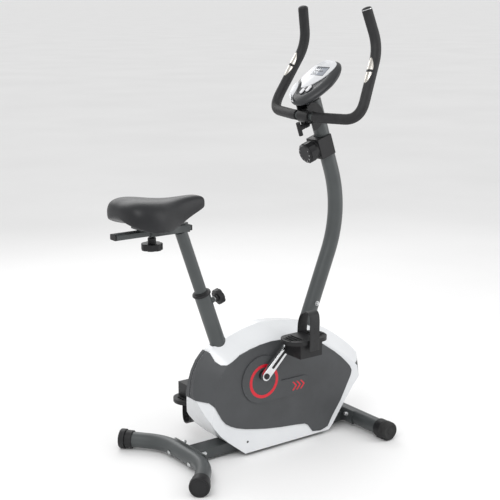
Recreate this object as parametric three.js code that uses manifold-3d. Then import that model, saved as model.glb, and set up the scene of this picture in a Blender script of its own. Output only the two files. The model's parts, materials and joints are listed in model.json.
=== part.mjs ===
// Upright exercise bike with a magnetic brake, built as the real one bolts together.
// Millimetres, +Z up. +X is the way the rider faces and +Y is the rider's left.
// Every X below is measured from midway between the two stabilizers' ends, and the
// whole bike is then moved by ORIGIN_SHIFT, so that its origin is the middle of its footprint.

import * as THREE from 'three';
import { mergeVertices } from 'three/addons/utils/BufferGeometryUtils.js';
import Module from 'manifold-3d';

const wasm = await Module();
wasm.setup();

// ---- driving dimensions ----
const ORIGIN_SHIFT = 52.5;
const GAP = 0.3;
const ROUND_GAP = 0.8;
const WALL = 2;

const BEAM = { rear: -258, front: 350, low: 9, high: 43, halfWidth: 29 };
const REAR_TUBE = { x: -278, z: 31.2, radius: 25, straight: 70, cornerY: 112, capX: -366, capY: 217 };
const FRONT_TUBE = { x: 366, z: 32, radius: 26, halfLength: 214 };
const CAP = { radius: 32, sleeveRadius: 29, lap: 24, disc: 20 };
const WHEEL = { radius: 31, inner: 217, outer: 245 };
const STABILIZER_BOLT_Y = 58;

const SEAT_LEAN = THREE.MathUtils.degToRad(19.4);
const SEAT_FOOT = { x: -36, z: 43 };
const SEAT_TUBE = { radius: 25, start: 14, length: 510 };
const SEAT_POST = { radius: 19, start: 270, length: 740 };
const HEIGHT_PIN_AT = 490;
const RAIL = { centreZ: 756, halfWidth: 19, halfHeight: 12, rear: -396, front: -262 };
const SLIDER = { halfWidth: 16, halfHeight: 8.5, rear: -514, front: -252 };
const SLIDE_KNOB_X = -384;

const CRANK = { x: -34, z: 265, length: 145, angle: THREE.MathUtils.degToRad(44) };
const CRANK_PLANE = 94;
const PEDAL = { y: 152, halfLength: 78, halfWidth: 47, platformRise: 26, thickness: 13 };
const PULLEY = { radius: 98, y: 50, width: 12 };
const FLYWHEEL = { x: 250, z: 170, radius: 90, halfWidth: 11, pulleyRadius: 22, axle: 6 };

const YOKE_PIVOT = { x: FLYWHEEL.x - 52, z: FLYWHEEL.z + 94 };

const CASING = { halfWidth: 72, crownHalf: 15, chamfer: 49, wall: 3, panel: 2.5, bottom: 12 };

const POST = { radius: 25, foot: [200.6, 381], corner: [344.5, 744.2], topZ: 1112, bend: 84 };
const POST_SLOPE = 0.343;
const BAR = { radius: 12.5, foam: 16.5, gripStart: 44, x: 192, z: 1060 };

const CONSOLE = { x: 221.3, z: 1174.2, tilt: THREE.MathUtils.degToRad(39.5), thickness: 30, faceMiddle: 25 };
const CONSOLE_SIZE = { halfWidth: 80, front: 98, rear: 104 };
const TENSION = { z: 966, height: 68, halfWidth: 30, rear: 44, front: 14 };

// ---- finishes ----
function finish(color, roughness, metalness) {
  return () => new THREE.MeshStandardMaterial({ color, roughness, metalness });
}
const paint = finish(0x55595a, 0.45, 0.3);
const blackPlastic = finish(0x1c1c1e, 0.5, 0);
const darkPlastic = finish(0x4b4d51, 0.55, 0);
const whitePlastic = finish(0xf2f3f5, 0.3, 0);
const foam = finish(0x2c2c2f, 0.9, 0);
const vinyl = finish(0x34353a, 0.5, 0);
const chrome = finish(0xe4e6e8, 0.12, 1);
const zinc = finish(0xb9bcbe, 0.35, 1);
const steel = finish(0x8b8e90, 0.4, 1);
const rubber = finish(0x222224, 0.85, 0);
const screen = finish(0x8d93a0, 0.2, 0);

// ---- geometry helpers ----
const point = (x, y, z) => new THREE.Vector3(x, y, z);
const beyond = (start, direction, distance) => start.clone().addScaledVector(direction, distance);

function outline(points) {
  return new THREE.Shape(points.map(([a, b]) => new THREE.Vector2(a, b)));
}

function disc(radius, holeRadius = 0) {
  const shape = new THREE.Shape().absarc(0, 0, radius, 0, 2 * Math.PI);
  if (holeRadius > 0) shape.holes.push(new THREE.Path().absarc(0, 0, holeRadius, 0, 2 * Math.PI, true));
  return shape;
}

// A shape drawn in X and Z, thick along Y from low to high.
function plate(shape, low, high, sides = 12) {
  const geometry = new THREE.ExtrudeGeometry(shape, {
    depth: high - low,
    bevelEnabled: false,
    curveSegments: sides / 2,
  });
  return geometry.rotateX(Math.PI / 2).translate(0, high, 0);
}

// A shape carried along a straight line between two points.
function bar(shape, from, to, sides = 16) {
  const along = to.clone().sub(from);
  const geometry = new THREE.ExtrudeGeometry(shape, {
    depth: along.length(),
    bevelEnabled: false,
    curveSegments: sides / 2,
  });
  const turn = new THREE.Quaternion().setFromUnitVectors(point(0, 0, 1), along.normalize());
  return geometry.applyQuaternion(turn).translate(from.x, from.y, from.z);
}

// A shape carried straight across the bike, the same distance to both sides of its middle.
function acrossBike(shape, place, reach, sides) {
  return bar(shape, point(place.x, -reach, place.z), point(place.x, reach, place.z), sides);
}

function sweep(shape, path, steps, sides = 16) {
  return new THREE.ExtrudeGeometry(shape, { steps, extrudePath: path, curveSegments: sides / 2 });
}

function box(low, high) {
  const size = high.clone().sub(low);
  const middle = low.clone().add(high).multiplyScalar(0.5);
  return new THREE.BoxGeometry(size.x, size.y, size.z).translate(middle.x, middle.y, middle.z);
}

// A turned piece: profile of [radius, distance] pairs, spun about the line from one point towards another.
function turned(profile, from, towards, sides = 20) {
  const points = profile.map(([radius, distance]) => new THREE.Vector2(radius, distance));
  const along = towards.clone().sub(from).normalize();
  const turn = new THREE.Quaternion().setFromUnitVectors(point(0, 1, 0), along);
  return new THREE.LatheGeometry(points, sides).applyQuaternion(turn).translate(from.x, from.y, from.z);
}

// A straight run, a bend of the given reach at each corner, and a straight run again.
function bentPath(corners, reaches) {
  const path = new THREE.CurvePath();
  let start = corners[0];
  for (let i = 1; i < corners.length - 1; i += 1) {
    const reach = reaches[i - 1];
    const into = corners[i].clone().sub(corners[i - 1]).normalize().multiplyScalar(reach);
    const away = corners[i + 1].clone().sub(corners[i]).normalize().multiplyScalar(reach);
    const bendStart = corners[i].clone().sub(into);
    const bendEnd = corners[i].clone().add(away);
    path.add(new THREE.LineCurve3(start, bendStart));
    path.add(new THREE.QuadraticBezierCurve3(bendStart, corners[i], bendEnd));
    start = bendEnd;
  }
  path.add(new THREE.LineCurve3(start, corners[corners.length - 1]));
  return path;
}

function solid(geometry) {
  const bare = geometry.clone();
  bare.deleteAttribute('normal');
  bare.deleteAttribute('uv');
  const merged = mergeVertices(bare, 1e-3);
  return new wasm.Manifold(new wasm.Mesh({
    numProp: 3,
    vertProperties: merged.attributes.position.array,
    triVerts: Uint32Array.from(merged.index.array),
  }));
}

function surface(manifold) {
  const mesh = manifold.getMesh();
  const geometry = new THREE.BufferGeometry();
  geometry.setAttribute('position', new THREE.BufferAttribute(mesh.vertProperties, 3));
  geometry.setIndex(new THREE.BufferAttribute(mesh.triVerts, 1));
  return geometry;
}

function cut(base, ...tools) {
  return surface(tools.reduce((rest, tool) => rest.subtract(solid(tool)), solid(base)));
}

function join(...pieces) {
  return surface(pieces.slice(1).reduce((sum, piece) => sum.add(solid(piece)), solid(pieces[0])));
}

function common(base, ...tools) {
  return surface(tools.reduce((rest, tool) => rest.intersect(solid(tool)), solid(base)));
}

const bike = new THREE.Group();
bike.position.x = ORIGIN_SHIFT;

function add(name, geometry, material) {
  const shaded = geometry.index ? geometry.toNonIndexed() : geometry;
  shaded.computeVertexNormals();
  const mesh = new THREE.Mesh(shaded, material());
  mesh.name = name;
  bike.add(mesh);
}

const sides = [['left', 1], ['right', -1]];

// ---- main frame ----
const seatUp = point(-Math.sin(SEAT_LEAN), 0, Math.cos(SEAT_LEAN));
const seatFront = point(Math.cos(SEAT_LEAN), 0, Math.sin(SEAT_LEAN));
const alongSeat = (distance) => point(SEAT_FOOT.x, 0, SEAT_FOOT.z).addScaledVector(seatUp, distance);
const postFoot = point(POST.foot[0], 0, POST.foot[1]);
const postCorner = point(POST.corner[0], 0, POST.corner[1]);
const postUp = point(-POST_SLOPE, 0, 1).normalize();
const postRear = point(-postUp.z, 0, postUp.x);
const postSide = point(0, 1, 0);
const postFrame = new THREE.Matrix4().makeBasis(postRear, postSide, postRear.clone().cross(postSide));
const postTop = beyond(postCorner, postUp, (POST.topZ - POST.corner[1]) / postUp.z);
const stubUp = postCorner.clone().sub(postFoot).normalize();
const rearTubeAxis = [point(REAR_TUBE.x, -200, REAR_TUBE.z), point(REAR_TUBE.x, 200, REAR_TUBE.z)];
const frontTubeAxis = [point(FRONT_TUBE.x, -200, FRONT_TUBE.z), point(FRONT_TUBE.x, 200, FRONT_TUBE.z)];
const SADDLE_PLATE = 4;
const pinAxisAt = alongSeat(HEIGHT_PIN_AT);
const tensionAt = beyond(postCorner, postUp, (TENSION.z - POST.corner[1]) / postUp.z);

// Two bolts hold the post on its stub: one right through from side to side, one short one in front.
const postBolts = {
  cross: beyond(postFoot, stubUp, 68),
  front: beyond(postFoot, stubUp, 42),
  forward: point(stubUp.z, 0, -stubUp.x),
};
function postBoltHoles() {
  const { cross, front, forward } = postBolts;
  return [
    bar(disc(4.6), cross.clone().setY(-60), cross.clone().setY(60), 8),
    bar(disc(4.6), front, beyond(front, forward, 60), 8),
  ];
}

function makeBeam(holes) {
  const { rear, front, low, high, halfWidth } = BEAM;
  const ends = (wall) => [
    [-halfWidth + wall, low + wall], [halfWidth - wall, low + wall],
    [halfWidth - wall, high - wall], [-halfWidth + wall, high - wall],
  ];
  const section = outline(ends(0));
  section.holes.push(new THREE.Path(ends(WALL).map(([y, z]) => new THREE.Vector2(y, z)).reverse()));
  const tube = new THREE.ExtrudeGeometry(section, { depth: front - rear, bevelEnabled: false });
  tube.applyMatrix4(new THREE.Matrix4().makeBasis(point(0, 1, 0), point(0, 0, 1), point(1, 0, 0)));
  tube.translate(rear, 0, 0);
  const rearRound = bar(disc(REAR_TUBE.radius + ROUND_GAP), ...rearTubeAxis, 16);
  const frontRound = bar(disc(FRONT_TUBE.radius + ROUND_GAP), ...frontTubeAxis, 16);
  const rearPlate = makeSaddlePlate(REAR_TUBE, rearTubeAxis, 1);
  const frontPlate = makeSaddlePlate(FRONT_TUBE, frontTubeAxis, -1);
  const bracket = makeFlywheelBracket();
  const drain = bar(disc(5), point(rear + 60, 0, -10), point(rear + 60, 0, low + 10), 12);
  const welded = join(tube, rearPlate, frontPlate, bracket);
  add('main_beam', cut(welded, rearRound, frontRound, drain, ...holes), paint);
}

// A curved plate welded to the beam's end, which hugs the stabilizer that bolts to it.
function makeSaddlePlate(tube, axis, facing) {
  const ring = bar(disc(tube.radius + ROUND_GAP + SADDLE_PLATE, tube.radius + ROUND_GAP), ...axis, 16);
  const halfLength = 82;
  const reach = tube.radius + 10;
  const low = point(Math.min(facing * 8, facing * reach), -halfLength, -21);
  const high = point(Math.max(facing * 8, facing * reach), halfLength, 24);
  return common(ring, box(low, high).translate(tube.x, 0, tube.z));
}

// Two upright plates on a common foot, which carry the flywheel's axle and the brake's pivot.
function makeFlywheelBracket() {
  const { x, z } = FLYWHEEL;
  const side = outline([
    [x - 50, BEAM.high - 1], [x, BEAM.high - 1], [x + 22, z - 12], [x + 14, z + 14],
    [x - 42, z + 102], [x - 62, z + 102], [x - 62, z + 78], [x - 20, z],
  ]);
  const axleHole = bar(disc(FLYWHEEL.axle + 0.6), point(x, -60, z), point(x, 60, z), 10);
  const yokePin = acrossBike(disc(3.8), YOKE_PIVOT, 26, 8);
  return cut(join(plate(side, -28, -24), plate(side, 24, 28), yokePin), axleHole);
}

// A carriage bolt right through a stabilizer and its plate, with its domed nut.
function makeStabilizerBolt(name, tube, y, facing) {
  const tilt = THREE.MathUtils.degToRad(20);
  const inward = point(facing * Math.cos(tilt), 0, Math.sin(tilt));
  const centre = point(tube.x, y, tube.z);
  const nutSeat = tube.radius + SADDLE_PLATE + ROUND_GAP + GAP;
  const headSeat = -tube.radius - ROUND_GAP;
  const profile = [
    [0, headSeat - 4], [6, headSeat - 3.4], [9, headSeat], [4, headSeat],
    [4, nutSeat], [8, nutSeat], [8, nutSeat + 1.6], [6.5, nutSeat + 1.6],
    [6.5, nutSeat + 8], [4.5, nutSeat + 12], [0, nutSeat + 13.5],
  ];
  add(name, turned(profile, centre, centre.clone().add(inward), 8), zinc);
  return bar(disc(4.6), beyond(centre, inward, -50), beyond(centre, inward, 50), 8);
}

function makeStabilizers() {
  const rearHoles = [];
  const frontHoles = [];
  for (const [side, sign] of sides) {
    const y = sign * STABILIZER_BOLT_Y;
    rearHoles.push(makeStabilizerBolt(`rear_bolt_${side}`, REAR_TUBE, y, 1));
    frontHoles.push(makeStabilizerBolt(`front_bolt_${side}`, FRONT_TUBE, y, -1));
  }
  const { x, z, cornerY, capX, capY, radius } = REAR_TUBE;
  const path = bentPath(
    [point(capX, -capY, z), point(x, -cornerY, z), point(x, cornerY, z), point(capX, capY, z)],
    [40, 40],
  );
  add('rear_stabilizer', cut(sweep(disc(radius, radius - WALL), path, 11, 10), ...rearHoles), paint);
  const end = FRONT_TUBE.halfLength;
  const frontTube = bar(
    disc(FRONT_TUBE.radius, FRONT_TUBE.radius - WALL),
    point(FRONT_TUBE.x, -end, FRONT_TUBE.z), point(FRONT_TUBE.x, end, FRONT_TUBE.z), 16,
  );
  add('front_stabilizer', cut(frontTube, ...frontHoles), paint);
  return [...rearHoles, ...frontHoles];
}

// Plastic end caps: a sleeve over the tube and a thicker disc, with a small flat foot underneath.
function makeCaps() {
  const floor = box(point(-600, -400, -50), point(600, 400, 0));
  const sleeve = (bore) => [
    [0, 0.4], [bore, 0.4], [bore, -CAP.lap], [CAP.sleeveRadius, -CAP.lap],
    [CAP.sleeveRadius, -2], [CAP.radius, 0], [CAP.radius, CAP.disc - 4],
    [CAP.radius - 4, CAP.disc], [0, CAP.disc],
  ];
  for (const [side, sign] of sides) {
    const corner = point(REAR_TUBE.x, sign * REAR_TUBE.cornerY, REAR_TUBE.z);
    const end = point(REAR_TUBE.capX, sign * REAR_TUBE.capY, REAR_TUBE.z);
    const out = end.clone().sub(corner);
    const cap = turned(sleeve(REAR_TUBE.radius + ROUND_GAP), end, end.clone().add(out), 16);
    add(`rear_cap_${side}`, cut(cap, floor), blackPlastic);
    makeFrontCap(side, sign);
  }
}

// The front caps carry a transport wheel each, which clears the floor until the bike is tipped forwards.
function makeFrontCap(side, sign) {
  const { x, z, radius, halfLength } = FRONT_TUBE;
  const start = point(x, sign * halfLength, z);
  const out = point(x, sign * (halfLength + 10), z);
  const axleReach = WHEEL.outer - halfLength - 3;
  const capProfile = [
    [0, GAP], [radius + ROUND_GAP, GAP], [radius + ROUND_GAP, -CAP.lap], [CAP.sleeveRadius + 1, -CAP.lap],
    [CAP.sleeveRadius + 1, 2.5], [8, 2.5], [8, axleReach], [0, axleReach],
  ];
  const foot = box(
    point(x - 13, Math.min(sign * (halfLength - CAP.lap + 1), sign * (halfLength + 2)), 0),
    point(x + 13, Math.max(sign * (halfLength - CAP.lap + 1), sign * (halfLength + 2)), 20),
  );
  const bore = bar(
    disc(radius + ROUND_GAP),
    point(x, sign * (halfLength - 60), z), point(x, sign * (halfLength + GAP), z), 16,
  );
  const cap = turned(capProfile, start, out, 16);
  add(`front_cap_${side}`, cut(join(cap, foot), bore), blackPlastic);
  const { inner, outer } = WHEEL;
  const wheelProfile = [
    [8.2, inner], [WHEEL.radius - 2, inner], [WHEEL.radius, inner + 3], [WHEEL.radius, outer - 5],
    [WHEEL.radius - 5, outer], [0, outer], [0, outer - 2.5], [8.2, outer - 2.5], [8.2, inner],
  ].map(([r, distance]) => [r, distance - halfLength]);
  const hub = point(x, sign * halfLength, z);
  add(`transport_wheel_${side}`, turned(wheelProfile, hub, point(x, sign * (halfLength + 10), z), 16), rubber);
}

// The welded uprights: the leaning seat tube with the bottom bracket shell on its web and the
// height pin's boss, and the stub that the steering post slips over.
function makeUprights() {
  const beamTop = box(point(-400, -60, -50), point(400, 60, BEAM.high + GAP));
  const tubeEnd = alongSeat(SEAT_TUBE.start + SEAT_TUBE.length);
  const seatTube = bar(disc(SEAT_TUBE.radius), alongSeat(-20), tubeEnd, 16);
  const seatBore = bar(disc(SEAT_TUBE.radius - WALL), alongSeat(-40), alongSeat(600), 16);
  const shell = bar(disc(22), point(CRANK.x, -34, CRANK.z), point(CRANK.x, 34, CRANK.z), 16);
  const web = plate(outline([
    [CRANK.x - 80, CRANK.z - 26], [CRANK.x - 80, CRANK.z + 26], [CRANK.x, CRANK.z + 21],
    [CRANK.x + 21, CRANK.z], [CRANK.x, CRANK.z - 21],
  ]), -9, 9);
  const shellBore = bar(disc(18.3), point(CRANK.x, -50, CRANK.z), point(CRANK.x, 50, CRANK.z), 16);
  const pinFront = beyond(pinAxisAt, seatFront, SEAT_TUBE.radius + 10);
  const pinBoss = bar(disc(9), beyond(pinAxisAt, seatFront, SEAT_TUBE.radius - 1), pinFront, 16);
  const pinHole = bar(disc(5.4), pinAxisAt, beyond(pinAxisAt, seatFront, 60), 16);
  const weldment = join(seatTube, shell, web, pinBoss);
  add('seat_tube', cut(weldment, seatBore, shellBore, beamTop, pinHole), paint);

  const stubFoot = beyond(postFoot, stubUp, -400);
  const stubEnd = beyond(postFoot, stubUp, 90);
  const stubRadius = POST.radius - WALL - 1.5;
  const stub = bar(disc(stubRadius, stubRadius - WALL), stubFoot, stubEnd, 12);
  const cableHole = box(point(150, -6, 266), point(220, 6, 308));
  add('post_stub', cut(stub, beamTop, cableHole, ...postBoltHoles()), paint);
}

// ---- drive inside the casing ----
function makeDrive() {
  const { x, z } = CRANK;
  const cartridge = [
    [8.4, -37], [20.5, -37], [20.5, -34.4], [17.6, -34.4], [17.6, 34.4], [20.5, 34.4], [20.5, 37], [8.4, 37],
    [8.4, -37],
  ];
  add('crank_cartridge', turned(cartridge, point(x, 0, z), point(x, 10, z), 16), steel);
  add('crank_axle', bar(disc(8), point(x, -CRANK_PLANE - 9, z), point(x, CRANK_PLANE + 9, z), 12), steel);
  const half = PULLEY.width / 2;
  const rim = PULLEY.radius;
  const pulley = [
    [8.3, -half], [20, -half], [20, -half + 3], [rim - 8, -half + 3], [rim - 8, -half], [rim, -half],
    [rim, half], [rim - 8, half], [rim - 8, half - 3], [20, half - 3], [20, half], [8.3, half], [8.3, -half],
  ];
  const hub = point(x, PULLEY.y, z);
  add('drive_pulley', turned(pulley, hub, hub.clone().setY(PULLEY.y + 10), 20), blackPlastic);

  const wheel = FLYWHEEL;
  const centre = point(wheel.x, 0, wheel.z);
  const towards = point(wheel.x, 10, wheel.z);
  const web = wheel.halfWidth - 5;
  const rimInner = wheel.radius - 24;
  const disk = [
    [wheel.axle - 1, -web - 3], [16, -web - 3], [18, -web], [rimInner, -web], [rimInner + 3, -wheel.halfWidth],
    [wheel.radius, -wheel.halfWidth], [wheel.radius, wheel.halfWidth], [rimInner + 3, wheel.halfWidth],
    [rimInner, web], [18, web], [16, web + 3], [wheel.axle - 1, web + 3], [wheel.axle - 1, -web - 3],
  ];
  const r = wheel.pulleyRadius;
  const axle = [
    [0, -36], [wheel.axle, -36], [wheel.axle, PULLEY.y - half], [r + 1, PULLEY.y - half],
    [r + 1, PULLEY.y - half + 0.6], [r, PULLEY.y - half + 0.7],
    [r, PULLEY.y + half], [wheel.axle, PULLEY.y + half], [wheel.axle, 60], [0, 60],
  ];
  add('flywheel', join(turned(disk, centre, towards, 20), turned(axle, centre, towards, 10)), steel);
  add('drive_belt', plate(beltShape(), PULLEY.y - half + 1, PULLEY.y + half - 1, 20), rubber);
}

// The belt's side view: two round ends joined by their outer tangents, 2.4 mm thick.
function beltShape() {
  const span = point(FLYWHEEL.x - CRANK.x, 0, FLYWHEEL.z - CRANK.z);
  const distance = span.length();
  const heading = Math.atan2(span.z, span.x);
  const fan = Math.acos((PULLEY.radius - FLYWHEEL.pulleyRadius) / distance);
  const loop = (Kind, extra, clockwise) => {
    const path = new Kind();
    const start = heading + fan;
    const end = heading - fan + 2 * Math.PI;
    if (clockwise) {
      path.absarc(CRANK.x, CRANK.z, PULLEY.radius + extra, end, start, true);
      path.absarc(FLYWHEEL.x, FLYWHEEL.z, FLYWHEEL.pulleyRadius + extra, start, end - 2 * Math.PI, true);
    } else {
      path.absarc(CRANK.x, CRANK.z, PULLEY.radius + extra, start, end, false);
      path.absarc(FLYWHEEL.x, FLYWHEEL.z, FLYWHEEL.pulleyRadius + extra, end - 2 * Math.PI, start, false);
    }
    path.closePath();
    return path;
  };
  const shape = loop(THREE.Shape, 3, false);
  shape.holes.push(loop(THREE.Path, 1, true));
  return shape;
}

// The magnetic brake: a yoke over the flywheel's rim on a pivot pin, drawn in by the tension cable.
function makeBrake() {
  const { x, z, radius } = FLYWHEEL;
  const sector = (inner, outer, from, to) => {
    const shape = new THREE.Shape();
    shape.absarc(x, z, outer, from, to, false);
    shape.absarc(x, z, inner, to, from, true);
    shape.closePath();
    return shape;
  };
  const start = THREE.MathUtils.degToRad(52);
  const end = THREE.MathUtils.degToRad(118);
  const bridge = plate(sector(radius + 4, radius + 8, start, end), -20, 20, 12);
  const cheeks = sides.map(([, sign]) => {
    const faces = [sign * 16, sign * 20].sort((a, b) => a - b);
    return plate(sector(radius - 20, radius + 6, start, end), ...faces, 12);
  });
  const lug = plate(disc(11), -20, 20, 16).translate(YOKE_PIVOT.x, 0, YOKE_PIVOT.z);
  const pinHole = acrossBike(disc(4.3), YOKE_PIVOT, 40, 12);
  const rimRoom = bar(disc(radius + 3), point(x, -12.5, z), point(x, 12.5, z), 28);
  add('magnet_yoke', cut(join(bridge, ...cheeks, lug), pinHole, rimRoom), steel);
}

// ---- casing ----
// The side view of the two white shells, from the foot of the rear round to the foot of the front.
const rearEdge = [
  [-98, 12], [-130, 38], [-162, 64], [-192, 92], [-217, 124], [-236, 160], [-249, 196], [-257, 224],
];
const tailAndCrown = [
  [-253, 262], [-242, 296], [-226, 325], [-206, 347], [-184, 364], [-148, 382], [-110, 396], [-68, 408],
  [-29, 415], [11, 418], [51, 415], [92, 409], [133, 400], [176, 388], [230, 368], [265, 352], [304, 328],
  [349, 295], [384, 266],
];
const frontEdge = [[409, 238], [400, 202], [352, 150], [302, 84], [262, 28], [246, 12]];

// The shells' outer form, grown by the given amount: flat sides, and a chamfered crown and tail.
function casingForm(grow) {
  const flat = new THREE.ExtrudeGeometry(outline([...rearEdge, ...tailAndCrown, ...frontEdge].reverse()), {
    depth: 2 * (CASING.halfWidth + grow - 0.01),
    bevelEnabled: true, bevelThickness: 0.01, bevelSize: 0.01, bevelOffset: grow, bevelSegments: 1,
  });
  flat.rotateX(Math.PI / 2).translate(0, CASING.halfWidth + grow - 0.01, 0);
  const past = [[-290, -200], [-285, 60], [-262, 224]];
  const ahead = [[412, 240], [440, 100], [460, -200]];
  const crown = new THREE.ExtrudeGeometry(outline([...past, ...tailAndCrown, ...ahead].reverse()), {
    depth: 2 * CASING.crownHalf,
    bevelEnabled: true,
    bevelThickness: CASING.halfWidth + 2 - CASING.crownHalf,
    bevelSize: CASING.chamfer + 2,
    bevelOffset: grow - CASING.chamfer - 2,
    bevelSegments: 1,
  });
  crown.rotateX(Math.PI / 2).translate(0, CASING.crownHalf, 0);
  const growCrown = crown.scale(1, (CASING.halfWidth + 2 + grow) / (CASING.halfWidth + 2), 1);
  return common(flat, growCrown);
}

const boss = { x: -36, z: 250, radius: 78, tailX: 127, tailRadius: 29, rise: 4 };

// The raised disc round the crank, with a round-ended tail that runs forwards level with its foot.
function bossShape() {
  const tailZ = boss.z - boss.radius + boss.tailRadius;
  const meets = Math.asin((tailZ + boss.tailRadius - boss.z) / boss.radius);
  const shape = new THREE.Shape();
  shape.absarc(boss.x, boss.z, boss.radius, meets, 1.5 * Math.PI, false);
  shape.absarc(boss.tailX, tailZ, boss.tailRadius, -Math.PI / 2, Math.PI / 2, false);
  shape.closePath();
  return shape;
}

const panelOutline = [
  [-300, 218], [-228, 207], [-212, 190], [-200, 168], [-188, 147], [-174, 130], [-156, 118], [-133, 107],
  [-99, 96], [-59, 87], [-20, 79], [41, 70], [103, 64], [140, 59], [155, 51], [175, 24], [209, 19],
  [239, 27], [256, 57], [294, 109], [337, 189], [340, 205], [331, 222], [313, 241], [291, 262], [260, 287],
  [225, 311], [189, 336], [130, 352], [75, 362], [38, 366], [-1, 367.5], [-41, 364], [-79, 356], [-118, 344],
  [-146, 329], [-166, 320], [-182, 320], [-193, 331], [-196, 352], [-230, 390], [-300, 390],
];

function makeCasing() {
  const form = casingForm(0);
  const cavity = casingForm(-CASING.wall);
  const bottom = box(point(-92, -CASING.halfWidth + 3, -20), point(238, CASING.halfWidth - 3, 30));
  const besideBeam = BEAM.halfWidth + 1.5;
  const beamRoom = box(point(-400, -besideBeam, -20), point(500, besideBeam, BEAM.high + 1.5));
  const seatRoom = bar(disc(SEAT_TUBE.radius + 1.2), alongSeat(200), alongSeat(520), 20);
  const stubRoom = bar(disc(POST.radius - 0.5), beyond(postFoot, stubUp, -60),
    beyond(postFoot, stubUp, 60), 24);
  const postRoom = bar(disc(POST.radius + 0.6), beyond(postFoot, stubUp, -GAP),
    beyond(postFoot, stubUp, 60), 24);
  const crankRoom = acrossBike(disc(22), CRANK, 200, 16);
  const shell = cut(form, cavity, bottom, beamRoom, seatRoom, stubRoom, postRoom, crankRoom);
  const crankHole = acrossBike(disc(15), CRANK, 200, 16);
  const skin = cut(casingForm(CASING.panel + GAP), casingForm(GAP));
  for (const [side, sign] of sides) {
    const halfSpace = (clear) => {
      const faces = [sign * clear, sign * 200].sort((a, b) => a - b);
      return box(point(-500, faces[0], -50), point(600, faces[1], 500));
    };
    add(`casing_${side}`, common(shell, halfSpace(GAP / 2)), whitePlastic);
    const reach = [sign * 2, sign * 120].sort((a, b) => a - b);
    const panel = common(skin, plate(outline(panelOutline), ...reach));
    const bossFaces = [sign * (CASING.halfWidth + 2), sign * (CASING.halfWidth + CASING.panel + boss.rise)];
    const raised = plate(bossShape(), ...bossFaces.sort((a, b) => a - b), 20);
    add(`side_panel_${side}`, cut(join(panel, raised), crankHole, seatRoom), darkPlastic);
  }
}

// ---- steering post ----
function makePost() {
  const path = bentPath([postFoot, postCorner, postTop], [POST.bend]);
  const cableHole = bar(disc(6), tensionAt.clone(), beyond(tensionAt, postRear, 60), 8);
  const tube = sweep(disc(POST.radius, POST.radius - WALL), path, 12, 12);
  add('steering_post', cut(tube, ...postBoltHoles(), cableHole), paint);
  const seat = POST.radius + GAP;
  const screw = [
    [0, 12], [4, 12], [4, seat], [8.5, seat], [8.5, seat + 1.7], [6.5, seat + 1.7], [6.5, seat + 6],
    [4.5, seat + 7.6], [0, seat + 7.6],
  ];
  const through = [
    [0, -seat - 7], [6.5, -seat - 7], [6.5, -seat - 1.7], [8.5, -seat - 1.7], [8.5, -seat], [4, -seat],
    [4, seat], ...screw.slice(3),
  ];
  add('post_cross_bolt', turned(through, postBolts.cross, postBolts.cross.clone().setY(-10), 8), zinc);
  add('post_front_bolt', turned(screw, postBolts.front, beyond(postBolts.front, postBolts.forward, 1), 8), zinc);
}

// ---- seat post, height pin, rail and slider ----
const knobSides = 7;

// A round knob with lobes round its rim, drawn flat and turned to its axis.
function lobedKnob(radius, depth, from, towards) {
  const shape = new THREE.Shape();
  const steps = knobSides * 4;
  for (let i = 0; i < steps; i += 1) {
    const angle = (i / steps) * 2 * Math.PI;
    const r = radius - 0.09 * radius * Math.max(0, -Math.cos(knobSides * angle));
    const spot = [r * Math.cos(angle), r * Math.sin(angle)];
    if (i === 0) shape.moveTo(...spot);
    else shape.lineTo(...spot);
  }
  shape.closePath();
  const along = towards.clone().sub(from).normalize().multiplyScalar(depth);
  return bar(shape, from, from.clone().add(along));
}

function makeSeatPost() {
  const collarEnd = SEAT_TUBE.start + SEAT_TUBE.length;
  const bore = SEAT_POST.radius + ROUND_GAP;
  const collar = [
    [bore, -40], [SEAT_TUBE.radius - WALL - ROUND_GAP, -40], [SEAT_TUBE.radius - WALL - ROUND_GAP, GAP],
    [SEAT_TUBE.radius + 3, GAP], [SEAT_TUBE.radius + 4.5, 3], [SEAT_TUBE.radius + 3, 9],
    [SEAT_POST.radius + 3, 12], [bore, 12], [bore, -40],
  ];
  const pinRoom = bar(disc(5.4), pinAxisAt, beyond(pinAxisAt, seatFront, 60), 12);
  const collarRing = turned(collar, alongSeat(collarEnd), alongSeat(collarEnd + 10), 16);
  add('seat_tube_collar', cut(collarRing, pinRoom), blackPlastic);
  const pinProfile = [
    [0, SEAT_POST.radius + 0.5], [3.6, SEAT_POST.radius + 0.5], [5, SEAT_POST.radius + 2], [5, SEAT_TUBE.radius + 16],
    [0, SEAT_TUBE.radius + 16],
  ];
  const pin = turned(pinProfile, pinAxisAt, pinAxisAt.clone().add(seatFront), 10);
  const knobAt = beyond(pinAxisAt, seatFront, SEAT_TUBE.radius + 14);
  const neck = turned([[0, 0], [11, 0], [14, 8], [0, 8]], knobAt, knobAt.clone().add(seatFront), 14);
  const grip = lobedKnob(25, 17, beyond(knobAt, seatFront, 6), beyond(knobAt, seatFront, 30));
  add('height_pin_knob', join(neck, grip, pin), blackPlastic);

  const postEnd = (RAIL.centreZ - RAIL.halfHeight - SEAT_FOOT.z) / seatUp.z;
  const postSection = disc(SEAT_POST.radius, SEAT_POST.radius - WALL);
  const post = bar(postSection, alongSeat(SEAT_POST.start), alongSeat(postEnd + 20), 16);
  const above = box(point(-600, -60, RAIL.centreZ - RAIL.halfHeight + 1), point(0, 60, 900));
  const pinHoles = [];
  for (let step = -3; step <= 4; step += 1) {
    const at = beyond(pinAxisAt, seatUp, step * 25);
    pinHoles.push(bar(disc(5.7), at, beyond(at, seatFront, 60), 6));
  }
  return cut(post, above, ...pinHoles);
}

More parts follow.
